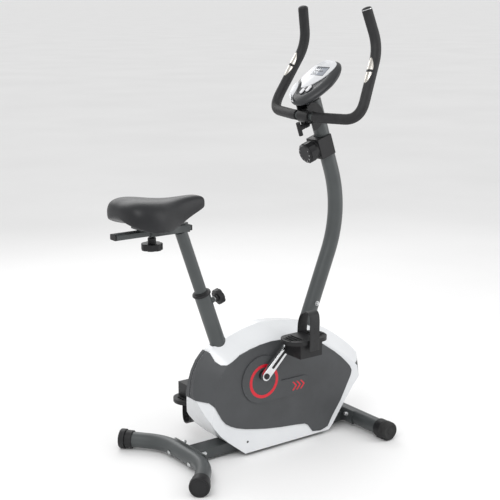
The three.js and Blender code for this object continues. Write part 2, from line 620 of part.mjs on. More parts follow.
function roundedTube(halfWidth, halfHeight, rear, front) {
  const corner = 3;
  const shape = new THREE.Shape();
  shape.absarc(halfWidth - corner, halfHeight - corner, corner, 0, Math.PI / 2);
  shape.absarc(-halfWidth + corner, halfHeight - corner, corner, Math.PI / 2, Math.PI);
  shape.absarc(-halfWidth + corner, -halfHeight + corner, corner, Math.PI, 1.5 * Math.PI);
  shape.absarc(halfWidth - corner, -halfHeight + corner, corner, 1.5 * Math.PI, 2 * Math.PI);
  shape.closePath();
  const tube = new THREE.ExtrudeGeometry(shape, { depth: front - rear, bevelEnabled: false, curveSegments: 2 });
  tube.applyMatrix4(new THREE.Matrix4().makeBasis(point(0, 1, 0), point(0, 0, 1), point(1, 0, 0)));
  return tube.translate(rear, 0, RAIL.centreZ);
}

const SLOT_HALF = 9;
function makeRail() {
  const slot = box(point(-500, -SLOT_HALF, RAIL.centreZ), point(-100, SLOT_HALF, RAIL.centreZ + 40));
  const outer = roundedTube(RAIL.halfWidth, RAIL.halfHeight, RAIL.rear, RAIL.front);
  const inner = roundedTube(SLIDER.halfWidth + GAP, SLIDER.halfHeight + GAP, RAIL.rear - 10, RAIL.front + 10);
  const knobAxis = [point(SLIDE_KNOB_X, 0, RAIL.centreZ), point(SLIDE_KNOB_X, 0, RAIL.centreZ - 60)];
  const sleeve = cut(outer, inner, slot, bar(disc(5.4), ...knobAxis, 12));
  add('seat_post', join(sleeve, makeSeatPost()), paint);
  const capLength = 5;
  const sliderRear = SLIDER.rear + capLength + GAP;
  const slider = roundedTube(SLIDER.halfWidth, SLIDER.halfHeight, sliderRear, SLIDER.front - capLength);
  const innerWidth = SLIDER.halfWidth - WALL;
  const innerHeight = SLIDER.halfHeight - WALL;
  const hollow = roundedTube(innerWidth, innerHeight, SLIDER.rear - 10, SLIDER.front + 10);
  add('seat_slider', join(cut(slider, hollow), makeSaddleBracket()), paint);
  const plugs = [['slider_cap_rear', SLIDER.rear, 1], ['slider_cap_front', SLIDER.front, -1]];
  for (const [name, end, inwards] of plugs) {
    const faces = (depth) => [end, end + inwards * depth].sort((a, b) => a - b);
    const face = roundedTube(SLIDER.halfWidth, SLIDER.halfHeight, ...faces(capLength - GAP));
    const root = roundedTube(SLIDER.halfWidth - WALL - GAP, SLIDER.halfHeight - WALL - GAP, ...faces(18));
    add(name, join(face, root), blackPlastic);
  }
  const knobTop = point(SLIDE_KNOB_X, 0, RAIL.centreZ - SLIDER.halfHeight - 2 * GAP);
  const down = knobTop.clone().setZ(0);
  const stem = turned([[0, 0], [5, 0], [5, 7], [12.5, 7], [12.5, 26], [0, 26]], knobTop, down, 16);
  const wheel = lobedKnob(32, 20, knobTop.clone().setZ(knobTop.z - 24), down);
  add('slide_knob', join(stem, wheel), blackPlastic);
}

// ---- saddle ----
// Half-widths, crown heights and skirt heights down the saddle's length, from tail to nose.
const saddleStations = [
  { x: -503, half: 52, top: 838, skirt: 806 },
  { x: -486, half: 88, top: 856, skirt: 792 },
  { x: -455, half: 104, top: 864, skirt: 780 },
  { x: -415, half: 106, top: 860, skirt: 770 },
  { x: -375, half: 92, top: 853, skirt: 772 },
  { x: -335, half: 66, top: 850, skirt: 778 },
  { x: -295, half: 44, top: 852, skirt: 788 },
  { x: -255, half: 33, top: 854, skirt: 802 },
  { x: -220, half: 25, top: 850, skirt: 814 },
  { x: -199, half: 14, top: 838, skirt: 820 },
];

// Each stretch between two stations is the convex solid of their two rounded sections.
function makeSaddle() {
  const section = ({ half, top, skirt }) => {
    const round = 0.72;
    return [
      [-half, skirt + 8], [-half * 0.98, skirt + (top - skirt) * round], [-half * 0.55, top - 3], [0, top],
      [half * 0.55, top - 3], [half * 0.98, skirt + (top - skirt) * round], [half, skirt + 8],
      [half * 0.8, skirt], [-half * 0.8, skirt],
    ];
  };
  const corners = [];
  const rows = saddleStations.map((station) => section(station).map(([y, z]) => [station.x, y, z]));
  const count = rows[0].length;
  rows.forEach((row) => row.forEach((spot) => corners.push(...spot)));
  const faces = [];
  for (let r = 0; r < rows.length - 1; r += 1) {
    for (let i = 0; i < count; i += 1) {
      const a = r * count + i;
      const b = r * count + ((i + 1) % count);
      faces.push(a, a + count, b, b, a + count, b + count);
    }
  }
  const last = (rows.length - 1) * count;
  for (let i = 1; i < count - 1; i += 1) {
    faces.push(0, i, i + 1);
    faces.push(last, last + i + 1, last + i);
  }
  const geometry = new THREE.BufferGeometry();
  geometry.setAttribute('position', new THREE.Float32BufferAttribute(corners, 3));
  geometry.setIndex(faces);
  const base = box(point(-440, -34, RAIL.centreZ), point(-300, 34, RAIL.centreZ + RAIL.halfHeight + 14));
  const clearance = box(point(-600, -60, 700), point(-100, 60, RAIL.centreZ + RAIL.halfHeight + 8.3));
  add('saddle', cut(geometry, clearance, base), vinyl);
}

// The saddle's deck stands on the slider through the slot in the rail, with a tongue in front.
function makeSaddleBracket() {
  const top = RAIL.centreZ + RAIL.halfHeight;
  const stem = box(point(-430, -8, RAIL.centreZ + SLIDER.halfHeight - 1), point(-330, 8, top + 4));
  const deck = box(point(-436, -30, top + 1), point(-304, 30, top + 8));
  const tongue = box(point(-305, -14, top + 1), point(-266, 14, top + 6));
  return join(stem, deck, tongue);
}

// ---- cranks and pedals ----
function makeCranks() {
  for (const [side, sign] of sides) {
    const near = sign < 0;
    const turn = near ? CRANK.angle : CRANK.angle + Math.PI;
    const axle = point(CRANK.x + CRANK.length * Math.cos(turn), 0, CRANK.z + CRANK.length * Math.sin(turn));
    const arm = new THREE.Shape();
    const fan = Math.PI / 2;
    arm.absarc(CRANK.x, CRANK.z, 15, turn + fan, turn + 3 * fan, false);
    arm.absarc(axle.x, axle.z, 12, turn - fan, turn + fan, false);
    arm.closePath();
    const faces = [sign * (CRANK_PLANE - 8), sign * (CRANK_PLANE + 5)].sort((a, b) => a - b);
    const axleRoom = bar(disc(8 + GAP), point(CRANK.x, -200, CRANK.z), point(CRANK.x, 200, CRANK.z), 16);
    const spindle = [
      [0, CRANK_PLANE - 8], [9, CRANK_PLANE - 8], [9, CRANK_PLANE + 8], [6, CRANK_PLANE + 8], [6, PEDAL.y + 38],
      [0, PEDAL.y + 38],
    ];
    const pin = turned(spindle, axle, axle.clone().setY(sign * 10), 16);
    add(`crank_arm_${side}`, join(cut(plate(arm, ...faces, 16), axleRoom), pin), chrome);
    makePedal(side, sign, axle, near ? 1 : -1);
  }
}

// A slotted platform on a hollow block, ballasted below its axle, with an adjustable strap over it.
function makePedal(side, sign, axle, up) {
  const group = (geometry) => {
    if (up < 0) geometry.rotateY(Math.PI);
    return geometry.translate(axle.x, sign * PEDAL.y, axle.z);
  };
  const { halfLength, halfWidth, platformRise, thickness } = PEDAL;
  const oval = new THREE.Shape();
  const corner = halfWidth - 6;
  const run = halfLength - corner;
  oval.absellipse(run, 0, corner, halfWidth, -Math.PI / 2, Math.PI / 2);
  oval.absellipse(-run, 0, corner, halfWidth, Math.PI / 2, 1.5 * Math.PI);
  oval.closePath();
  const slots = [];
  for (const end of [-1, 1]) {
    for (let i = 0; i < 3; i += 1) {
      const x = end * (32 + i * 13);
      const half = 30 - i * 6;
      slots.push(box(point(x - 3, -half, platformRise - thickness - 5), point(x + 3, half, platformRise + 5)));
    }
  }
  const platform = new THREE.ExtrudeGeometry(oval, { depth: thickness, bevelEnabled: false, curveSegments: 7 });
  platform.translate(0, 0, platformRise - thickness);
  const block = box(point(-44, -40, -32), point(42, 40, platformRise - thickness + 2));
  const bore = bar(disc(6 + GAP), point(0, -60, 0), point(0, 60, 0), 16);
  add(`pedal_${side}`, group(cut(join(cut(platform, ...slots), block), bore)), blackPlastic);

  const strapWidth = 19;
  const strapLean = 34;
  const loop = (Kind, grow, reversed) => {
    const spots = [
      [-halfWidth - 2 - grow, -12 - grow], [halfWidth + 2 + grow, -12 - grow], [halfWidth + 2 + grow, 94],
      [halfWidth - 4 + grow, 106 + grow], [halfWidth - 18, 111 + grow], [halfWidth - 36, 106 + grow],
      [-halfWidth + 22 - grow, 84 + grow], [-halfWidth + 5 - grow, 62 + grow], [-halfWidth - 2 - grow, 40],
    ].map(([outwards, z]) => new THREE.Vector2(sign * outwards, z));
    return new Kind(reversed ? spots.reverse() : spots);
  };
  const band = loop(THREE.Shape, 3, false);
  band.holes.push(loop(THREE.Path, 0, true));
  const strap = new THREE.ExtrudeGeometry(band, { depth: 2 * strapWidth, bevelEnabled: false });
  strap.applyMatrix4(new THREE.Matrix4().makeBasis(point(0, 1, 0), point(0, 0, 1), point(1, 0, 0)));
  strap.translate(strapLean / 2 - strapWidth, 0, 0);
  const skew = -sign * strapLean / (2 * halfWidth + 4);
  strap.applyMatrix4(new THREE.Matrix4().set(1, skew, 0, 0, 0, 1, 0, 0, 0, 0, 1, 0, 0, 0, 0, 1));
  const farEdge = strapLean + strapWidth + 4;
  const strapRoom = box(point(-22, -41, -40), point(farEdge, 41, platformRise - thickness + 2.3));
  const platformFoot = point(-22, -halfWidth - 0.5, platformRise - thickness - 0.5);
  const platformRoom = box(platformFoot, point(farEdge, halfWidth + 0.5, platformRise + 0.5));
  const inboard = [-sign * 60, 0].sort((a, b) => a - b);
  const armRoom = bar(disc(18), point(0, inboard[0], 0), point(0, inboard[1], 0), 12);
  add(`pedal_strap_${side}`, group(cut(strap, strapRoom, platformRoom, armRoom)), rubber);
}

// ---- handlebar ----
const corner = { x: 223, y: 221, z: 1064 };
const knee = { x: 329, y: 177, z: 1277 };
const gripTop = { x: 299, y: 156, z: 1390 };
function makeHandlebar() {
  const arm = (sign) => [
    point(gripTop.x, sign * gripTop.y, gripTop.z), point(knee.x, sign * knee.y, knee.z),
    point(corner.x, sign * corner.y, corner.z), point(BAR.x, sign * 62, BAR.z),
  ];
  const path = bentPath([...arm(1), ...arm(-1).reverse()], [40, 62, 16, 16, 62, 40]);
  const steps = 30;
  add('handlebar', sweep(disc(BAR.radius, BAR.radius - WALL), path, steps, 8), paint);
  const sleeve = sweep(disc(BAR.foam, BAR.radius + GAP), path, steps, 8);
  for (const [side, sign] of sides) {
    const reach = [sign * BAR.gripStart, sign * 400].sort((a, b) => a - b);
    const half = box(point(100, reach[0], 900), point(500, reach[1], 1500));
    add(`grip_${side}`, common(sleeve, half), foam);
    const top = point(gripTop.x, sign * gripTop.y, gripTop.z);
    const out = top.clone().multiplyScalar(2).sub(point(knee.x, sign * knee.y, knee.z));
    const plug = [
      [0, -12], [BAR.radius - WALL - 1.5, -12], [BAR.radius - WALL - 1.5, GAP], [BAR.foam - 0.5, GAP],
      [BAR.foam - 0.5, 3], [BAR.foam - 3, 6], [BAR.foam - 9, 8.5], [0, 9],
    ];
    add(`end_plug_${side}`, turned(plug, top, out, 16), blackPlastic);
    makePulseSensor(side, sign);
  }
}

// A steel touch plate on the rider's side of each upright, lens shaped and curved with the grip.
function makePulseSensor(side, sign) {
  const low = point(corner.x, sign * corner.y, corner.z);
  const high = point(knee.x, sign * knee.y, knee.z);
  const up = high.clone().sub(low).normalize();
  const middle = beyond(low, up, 158);
  const across = point(0, -1, 0).addScaledVector(up, up.y).normalize();
  const facing = across.clone().cross(up);
  const lens = new THREE.Shape();
  lens.moveTo(0, -44);
  lens.quadraticCurveTo(21, 0, 0, 44);
  lens.quadraticCurveTo(-21, 0, 0, -44);
  const prism = new THREE.ExtrudeGeometry(lens, { depth: 30, bevelEnabled: false, curveSegments: 8 });
  prism.applyMatrix4(new THREE.Matrix4().makeBasis(across, up, facing));
  prism.translate(middle.x, middle.y, middle.z);
  const shell = bar(disc(BAR.foam + 2.4, BAR.foam + 0.5), beyond(middle, up, -50),
    beyond(middle, up, 50), 20);
  add(`pulse_sensor_${side}`, common(shell, prism), chrome);
}

// ---- handlebar clamp ----
const barAxis = [point(BAR.x, -300, BAR.z), point(BAR.x, 300, BAR.z)];
function makeClamp() {
  const postRound = bar(disc(POST.radius + ROUND_GAP), beyond(postTop, postUp, -400), postTop, 20);
  const barRound = bar(disc(BAR.radius + ROUND_GAP), ...barAxis, 16);
  const cradle = (half) => bar(disc(21), point(BAR.x, -half, BAR.z), point(BAR.x, half, BAR.z), 16);
  const split = (from, to) => {
    const centre = point(BAR.x, 0, BAR.z);
    const block = new THREE.BoxGeometry(to - from, 90, 120).translate((from + to) / 2, 0, 0);
    block.applyMatrix4(postFrame);
    return block.translate(centre.x, centre.y, centre.z);
  };
  const bridgeTo = point(BAR.x, 0, BAR.z).addScaledVector(postRear, -30);
  const bridge = bar(outline([[-22, -27], [22, -27], [22, 27], [-22, 27]]), point(BAR.x, 0, BAR.z), bridgeTo);
  const lugAt = point(BAR.x, 0, BAR.z).addScaledVector(postUp, -27);
  const lug = bar(disc(9), beyond(lugAt, postRear, -14), beyond(lugAt, postRear, 14), 14);
  const lugWeb = bar(outline([[-8, -8], [8, -8], [8, 8], [-8, 8]]), beyond(lugAt, postUp, 12), lugAt);
  const boltRoom = bar(disc(4.4), beyond(lugAt, postRear, -40), beyond(lugAt, postRear, 40), 12);
  const cap = common(join(cradle(25.6), lug, lugWeb), split(0.6, 60));
  add('clamp_cap', cut(cap, barRound, boltRoom), blackPlastic);
  const tee = turned([
    [0, -12], [3.8, -12], [3.8, 15], [8, 15], [9, 34], [6, 40], [0, 40],
  ], lugAt, lugAt.clone().add(postRear), 14);
  const handleAt = beyond(lugAt, postRear, 38);
  const handle = bar(disc(7), beyond(handleAt, postUp, -24), beyond(handleAt, postUp, 20), 12);
  add('clamp_knob', join(tee, handle), blackPlastic);
  const moon = new THREE.Shape().absarc(BAR.x, BAR.z, 46, 0, 2 * Math.PI);
  const foamRoom = bar(disc(BAR.foam + 1), ...barAxis, 12);
  const consoleRoom = box(point(-100, -200, -CONSOLE.thickness - 1), point(100, 200, 100));
  consoleRoom.applyMatrix4(consoleFrame);
  const cheeks = sides.map(([, sign]) => {
    const faces = [sign * 26, sign * 31].sort((a, b) => a - b);
    return cut(plate(moon, ...faces, 20), split(6, 90), foamRoom, consoleRoom);
  });
  const base = cut(join(cradle(27), bridge), split(0.3, 60), barRound);
  add('clamp_base', cut(join(base, ...cheeks), postRound), blackPlastic);
}

// ---- tension control ----
function postPlaced(geometry, at) {
  geometry.applyMatrix4(postFrame);
  return geometry.translate(at.x, at.y, at.z);
}

function makeTension() {
  const { height, halfWidth, rear, front } = TENSION;
  const half = height / 2;
  const block = new THREE.BoxGeometry(rear + front, 2 * halfWidth, height).translate((rear - front) / 2, 0, 0);
  const postRound = bar(disc(POST.radius + ROUND_GAP), beyond(postTop, postUp, -400), postTop, 20);
  const axisEnd = beyond(tensionAt, postRear, 100);
  const drum = bar(disc(28), beyond(tensionAt, postRear, rear - 4),
    beyond(tensionAt, postRear, rear + 12), 16);
  const spindleRoom = bar(disc(5.8), tensionAt, axisEnd, 8);
  add('tension_housing', cut(join(postPlaced(block, tensionAt), drum), postRound, spindleRoom), blackPlastic);
  const start = rear + 12 + GAP;
  const knobShape = new THREE.Shape();
  const flutes = 12;
  for (let i = 0; i < flutes * 2; i += 1) {
    const angle = (i / (flutes * 2)) * 2 * Math.PI;
    const r = i % 2 === 0 ? 32 : 34;
    const spot = [r * Math.cos(angle), r * Math.sin(angle)];
    if (i === 0) knobShape.moveTo(...spot);
    else knobShape.lineTo(...spot);
  }
  knobShape.closePath();
  const at = (distance) => beyond(tensionAt, postRear, distance);
  const rim = bar(knobShape, at(start), at(start + 24));
  const domeProfile = [[0, start + 22], [31, start + 22], [31, start + 25], [27, start + 30], [0, start + 30.5]];
  const dome = turned(domeProfile, tensionAt, at(10), 16);
  const spindle = turned([[0, 30], [5, 30], [5, start + 2], [0, start + 2]], tensionAt, at(10), 8);
  add('tension_knob', join(rim, dome, spindle), blackPlastic);
  const pastBolt = beyond(postBolts.cross, postBolts.forward, -10);
  const cablePath = new THREE.CatmullRomCurve3([
    at(0).addScaledVector(postUp, -4), at(0).addScaledVector(postUp, -160), point(318, 0, 800), point(327, 0, 741),
    point(316, 0, 672), point(262, 0, 535), pastBolt, point(195, 0, 388), point(172, 0, 312), point(180, 0, 291),
    point(184.5, 0, 279),
  ]);
  add('tension_cable', sweep(disc(2.2), cablePath, 20, 8), rubber);
}

// ---- console ----
const faceUp = point(-Math.sin(CONSOLE.tilt), 0, Math.cos(CONSOLE.tilt));
const faceAlong = point(Math.cos(CONSOLE.tilt), 0, Math.sin(CONSOLE.tilt));
const consoleFrame = new THREE.Matrix4().makeBasis(point(0, -1, 0), faceAlong, faceUp)
  .setPosition(CONSOLE.x, 0, CONSOLE.z);

// The console's egg outline in its own plane: first axis to the rider's right, second up the face.
function eggShape(inset) {
  const { halfWidth, front, rear } = CONSOLE_SIZE;
  const width = halfWidth - inset;
  const shape = new THREE.Shape();
  shape.moveTo(width, 0);
  shape.bezierCurveTo(width, 0.62 * (front - inset), 0.6 * width, front - inset, 0, front - inset);
  shape.bezierCurveTo(-0.6 * width, front - inset, -width, 0.62 * (front - inset), -width, 0);
  shape.bezierCurveTo(-width, -0.55 * (rear - inset), -0.5 * width, inset - rear, 0, inset - rear);
  shape.bezierCurveTo(0.5 * width, inset - rear, width, -0.55 * (rear - inset), width, 0);
  return shape;
}

const buttons = [['button_mode', -4, -53], ['button_reset', 15, -42]];
function pill(x, y, halfWidth, halfLength) {
  const shape = new THREE.Shape();
  shape.absarc(x, y + halfLength - halfWidth, halfWidth, 0, Math.PI, false);
  shape.absarc(x, y - halfLength + halfWidth, halfWidth, Math.PI, 2 * Math.PI, false);
  shape.closePath();
  return shape;
}

// The white face's edge: broad round the screen, with a lip that runs down beside the buttons.
const faceEdge = [
  [-42, -8], [-30, -22], [-26, -40], [1, -37], [7, -26.5], [30, -22], [56, -10], [66, 10], [62, 40], [46, 70],
  [22, 86], [0, 90], [-22, 86], [-46, 70], [-62, 40], [-64, 8],
];

function makeConsole() {
  const slab = (shape, low, high, sidesOfArc) => {
    const settings = { depth: high - low, bevelEnabled: false, curveSegments: sidesOfArc };
    const geometry = new THREE.ExtrudeGeometry(shape, settings);
    return geometry.translate(0, 0, low).applyMatrix4(consoleFrame);
  };
  const body = new THREE.ExtrudeGeometry(eggShape(10), {
    depth: CONSOLE.thickness - 14, bevelEnabled: true, bevelThickness: 7, bevelSize: 10, bevelSegments: 2,
    curveSegments: 4,
  });
  body.translate(0, 0, -CONSOLE.thickness + 7).applyMatrix4(consoleFrame);
  const wells = buttons.map(([, x, y]) => slab(pill(x, y, 7.4, 14.4), -4, 5, 5));
  const faceRoom = slab(outline(faceEdge), -1.4, 5, 4);
  const neck = bar(disc(POST.radius - WALL - 1.5), beyond(postTop, postUp, -26),
    beyond(postTop, postUp, 45), 12);
  add('console_body', cut(join(body, neck), ...wells, faceRoom), darkPlastic);
  const face = outline(faceEdge.map(([u, v]) => [0.993 * u, 0.993 * v + 0.007 * CONSOLE.faceMiddle]));
  const screenRoom = slab(outline([[-34, 22], [34, 22], [34, 58], [-34, 58]]), -0.4, 5, 4);
  add('console_face', cut(slab(face, -1.1, 1.5, 4), screenRoom), whitePlastic);
  const glass = outline([[-33.6, 22.4], [33.6, 22.4], [33.6, 57.6], [-33.6, 57.6]]);
  add('console_screen', slab(glass, -0.1, 1, 4), screen);
  for (const [name, x, y] of buttons) {
    add(name, slab(pill(x, y, 7, 14), -2.4, 2.6, 5), whitePlastic);
  }
}

makeBeam(makeStabilizers());
makeCaps();
makeUprights();
makeDrive();
makeBrake();
makeCasing();
makePost();
makeRail();
makeSaddle();
makeCranks();
makeHandlebar();
makeClamp();
makeTension();
makeConsole();

export default bike;
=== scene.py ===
"""An upright exercise bike with a magnetic brake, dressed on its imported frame.

The file follows the bike as it is put together: floor and light, then steel frame, casing,
cranks and pedals, seat, steering post, handlebar and display.
"""

import json
import math

import bmesh
import bpy
from mathutils import Matrix, Vector


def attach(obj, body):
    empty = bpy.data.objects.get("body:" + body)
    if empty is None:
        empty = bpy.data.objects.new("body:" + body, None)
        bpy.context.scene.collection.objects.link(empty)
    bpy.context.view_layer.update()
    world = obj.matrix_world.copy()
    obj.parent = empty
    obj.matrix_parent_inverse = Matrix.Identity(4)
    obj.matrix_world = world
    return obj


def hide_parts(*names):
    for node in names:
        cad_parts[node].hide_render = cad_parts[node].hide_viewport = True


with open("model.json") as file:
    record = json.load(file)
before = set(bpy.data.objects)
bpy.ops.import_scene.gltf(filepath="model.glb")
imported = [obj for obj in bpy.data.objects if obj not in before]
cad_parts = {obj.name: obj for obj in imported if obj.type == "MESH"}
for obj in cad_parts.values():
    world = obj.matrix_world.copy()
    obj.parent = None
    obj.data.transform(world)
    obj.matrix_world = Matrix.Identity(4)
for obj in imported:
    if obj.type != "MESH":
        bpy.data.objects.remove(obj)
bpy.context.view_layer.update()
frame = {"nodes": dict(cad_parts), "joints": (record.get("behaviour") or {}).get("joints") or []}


# ---- Studio ----
# A plain pale floor that runs on past the bike, broad soft lights, and a long lens
# held at a standing person's height behind the rider's right shoulder.
joint_at = {joint["name"]: Vector(joint["pos_m"]) for joint in frame["joints"] if "pos_m" in joint}
crank_centre = joint_at["crank_spin"]
CRANK_BEHIND_MIDDLE = 0.034
DRAWING_ZERO = crank_centre.x + CRANK_BEHIND_MIDDLE


def at(x, y, z):
    """A place on the bike's drawing, in millimetres from midway between the stabilizers' ends."""
    return Vector((x / 1000 + DRAWING_ZERO, y / 1000, z / 1000))


camera = bpy.data.objects.new("camera", bpy.data.cameras.new("camera"))
camera.data.lens = 80.0
camera.location = at(-2019, -2754, 1437)
camera.rotation_euler = (at(-28, 0, 654) - camera.location).to_track_quat("-Z", "Y").to_euler()
bpy.context.scene.collection.objects.link(camera)
bpy.context.scene.camera = camera

world = bpy.data.worlds.new("studio")
bpy.context.scene.world = world
world.use_nodes = True
world.node_tree.nodes["Background"].inputs["Color"].default_value = (1.0, 1.0, 1.0, 1.0)
world.node_tree.nodes["Background"].inputs["Strength"].default_value = 0.84
bpy.context.scene.view_settings.view_transform = "Standard"


def softbox(name, place, target, size, power):
    """A rectangular soft light, its size in metres and its power in watts."""
    light = bpy.data.lights.new(name, "AREA")
    light.shape = "RECTANGLE"
    light.size, light.size_y = size
    light.energy = power
    lamp = bpy.data.objects.new(name, light)
    lamp.location = place
    lamp.rotation_euler = (target - lamp.location).to_track_quat("-Z", "Y").to_euler()
    bpy.context.scene.collection.objects.link(lamp)


softbox("key", Vector((-1.8, -1.4, 2.8)), Vector((0, 0, 0.7)), (1.6, 1.6), 34)
softbox("fill", Vector((2.4, -1.8, 1.6)), Vector((0, 0, 0.6)), (1.2, 2.2), 22)
softbox("back", Vector((0.6, 2.4, 2.2)), Vector((0, 0, 0.8)), (2.4, 1.4), 26)


class Wire:
    """One output of a shader node, so that arithmetic on it adds the nodes it needs."""

    def __init__(self, tree, socket):
        self.tree = tree
        self.socket = socket

    def node(self, kind, settings=None, inputs=None, output=0):
        """A new node of any kind: its settings first, then its sockets' values or links."""
        made = self.tree.nodes.new(kind)
        for name, value in (settings or {}).items():
            if name == "stops":
                ramp = made.color_ramp
                while len(ramp.elements) < len(value):
                    ramp.elements.new(0.5)
                for element, (position, colour) in zip(ramp.elements, value):
                    element.position = position
                    element.color = colour
            else:
                setattr(made, name, value)
        for name, value in (inputs or {}).items():
            if isinstance(value, Wire):
                self.tree.links.new(value.socket, made.inputs[name])
            else:
                made.inputs[name].default_value = value
        return Wire(self.tree, made.outputs[output])

    def maths(self, operation, first, second):
        return self.node("ShaderNodeMath", {"operation": operation}, {0: first, 1: second})

    def __add__(self, other):
        return self.maths("ADD", self, other)

    def __radd__(self, other):
        return self.maths("ADD", other, self)

    def __mul__(self, other):
        return self.maths("MULTIPLY", self, other)

    def __rmul__(self, other):
        return self.maths("MULTIPLY", other, self)


def open_material(name):
    """A new material, its shader node, and a Wire of its object coordinates."""
    material = bpy.data.materials.new(name)
    material.use_nodes = True
    tree = material.node_tree
    shader = tree.nodes["Principled BSDF"]
    start = Wire(tree, None)
    return material, shader, start.node("ShaderNodeTexCoord", output="Object")


def feed(shader, **sockets):
    """Sets or links the shader's sockets; an underscore in a name stands for a space."""
    for name, value in sockets.items():
        socket = shader.inputs[name.replace("_", " ")]
        if isinstance(value, Wire):
            value.tree.links.new(value.socket, socket)
        else:
            socket.default_value = value


def noise(place, scale, detail=2.0):
    """A cloudy pattern, finer as its scale goes up."""
    return place.node("ShaderNodeTexNoise", inputs={"Vector": place, "Scale": scale, "Detail": detail})


def bump(height, strength, distance):
    """A surface pushed up and down by a pattern, the distance in metres."""
    return height.node(
        "ShaderNodeBump", inputs={"Height": height, "Strength": strength, "Distance": distance}
    )


def two_tone(place, scale, dark, light):
    """Slow colour variation between two near tones, as real coatings have."""
    cloud = noise(place, scale, 4.0)
    return cloud.node(
        "ShaderNodeValToRGB",
        {"stops": [(0.35, (*dark, 1.0)), (0.65, (*light, 1.0))]},
        {"Fac": cloud},
    )


def grain(place, scale, strength, distance=0.0004):
    """A fine surface grain as a bump."""
    return bump(noise(place, scale, 3.0), strength, distance)


def to_mesh(work, name):
    """Writes a finished bmesh out as a new mesh."""
    mesh = bpy.data.meshes.new(name)
    work.to_mesh(mesh)
    work.free()
    return mesh


floor_material, shader, place = open_material("studio_floor")
feed(
    shader,
    Base_Color=two_tone(place, 0.8, (0.88, 0.88, 0.88), (0.91, 0.91, 0.91)),
    Roughness=0.85,
    Normal=grain(place, 180, 0.05),
)
FLOOR_HALF_SIZE = 300.0
ground = bmesh.new()
bmesh.ops.create_grid(ground, x_segments=1, y_segments=1, size=FLOOR_HALF_SIZE)
floor_mesh = to_mesh(ground, "studio_floor")
floor = bpy.data.objects.new("studio_floor", floor_mesh)
floor_mesh.materials.append(floor_material)
bpy.context.scene.collection.objects.link(floor)


# ---- Steel frame ----
# Welded round steel tubes, powder coated in a satin dark grey with a faint orange-peel.
# The two stabilizers bolt to curved plates on the beam's ends.
paint, shader, place = open_material("frame_powder_coat")
feed(
    shader,
    Base_Color=two_tone(place, 9.0, (0.052, 0.058, 0.059), (0.064, 0.071, 0.072)),
    Roughness=0.34 + noise(place, 14.0, 5.0) * 0.12,
    Normal=grain(place, 900, 0.12, 0.0002),
    Metallic=0.15,
    Coat_Weight=0.15,
    Coat_Roughness=0.3,
)

nodes = frame["nodes"]
ROUND_SEGMENTS = 40


def bent_path(corners, reaches, steps=14):
    """Points along a bent tube: straight runs, with a smooth bend of the given reach at each corner."""
    points = [corners[0]]
    for before, corner, after, reach in zip(corners, corners[1:], corners[2:], reaches):
        start = corner + (before - corner).normalized() * reach
        end = corner + (after - corner).normalized() * reach
        for step in range(steps + 1):
            t = step / steps
            points.append(start * (1 - t) ** 2 + corner * (2 * t * (1 - t)) + end * t**2)
    points.append(corners[-1])
    return points


def new_piece(name, mesh, material, body, replaced=()):
    """Links a finished mesh, gives it its material, and sets it on its body."""
    piece = bpy.data.objects.new(name, mesh)
    if material is not None:
        mesh.materials.clear()
        mesh.materials.append(material)
    bpy.context.scene.collection.objects.link(piece)
    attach(piece, body)
    if replaced:
        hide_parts(*replaced)
    return piece


def shade_round(mesh, degrees=35):
    """Smooth shading that keeps edges sharper than the given angle."""
    work = bmesh.new()
    work.from_mesh(mesh)
    for face in work.faces:
        face.smooth = True
    for edge in work.edges:
        edge.smooth = edge.calc_face_angle(0.0) < math.radians(degrees)
    work.to_mesh(mesh)
    work.free()


def round_tube(name, points, radius, material, body, replaced=(), capped=True):
    """A round bar or tube along a list of points."""
    line = bpy.data.curves.new(name + "_line", "CURVE")
    line.dimensions = "3D"
    line.bevel_depth = radius
    line.bevel_resolution = ROUND_SEGMENTS // 4
    line.use_fill_caps = capped
    spline = line.splines.new("POLY")
    spline.points.add(len(points) - 1)
    for spot, point in zip(spline.points, points):
        spot.co = (*point, 1.0)
    carrier = bpy.data.objects.new(name + "_line", line)
    bpy.context.scene.collection.objects.link(carrier)
    bpy.context.view_layer.update()
    mesh = bpy.data.meshes.new_from_object(carrier.evaluated_get(bpy.context.evaluated_depsgraph_get()))
    mesh.name = name
    bpy.data.objects.remove(carrier)
    shade_round(mesh)
    return new_piece(name, mesh, material, body, replaced)


rear_corners = [at(-366, -217, 31.2), at(-278, -112, 31.2), at(-278, 112, 31.2), at(-366, 217, 31.2)]
round_tube(
    "rear_tube", bent_path(rear_corners, [0.06, 0.06]), 0.025, paint, "frame",
    ["rear_stabilizer"],
)
round_tube(
    "front_tube", [at(366, -214, 32), at(366, 214, 32)], 0.026, paint, "frame",
    ["front_stabilizer"],
)


MERGE_WITHIN = 0.00002
FLAT_WITHIN = 0.6


def softened(node, material, body, width=0.0012, angle=30, segments=3):
    """A node's shape with its edges rounded over, as a moulding or a casting has them."""
    work = bmesh.new()
    work.from_mesh(nodes[node].data)
    bmesh.ops.remove_doubles(work, verts=work.verts, dist=MERGE_WITHIN)
    bmesh.ops.dissolve_limit(
        work, angle_limit=math.radians(FLAT_WITHIN), verts=work.verts, edges=work.edges, delimit=set()
    )
    for face in work.faces:
        face.smooth = True
    for edge in work.edges:
        edge.smooth = edge.calc_face_angle(0.0) < math.radians(angle)
    mesh = to_mesh(work, node + "_shape")
    piece = new_piece(mesh.name, mesh, material, body, [node])
    bevel = piece.modifiers.new("rounded edges", "BEVEL")
    bevel.width = width
    bevel.segments = segments
    bevel.limit_method = "ANGLE"
    bevel.angle_limit = math.radians(angle)
    bevel.harden_normals = True
    bevel.use_clamp_overlap = True
    return piece


softened("main_beam", paint, "frame", 0.0012)
softened("post_stub", paint, "frame", 0.0006)


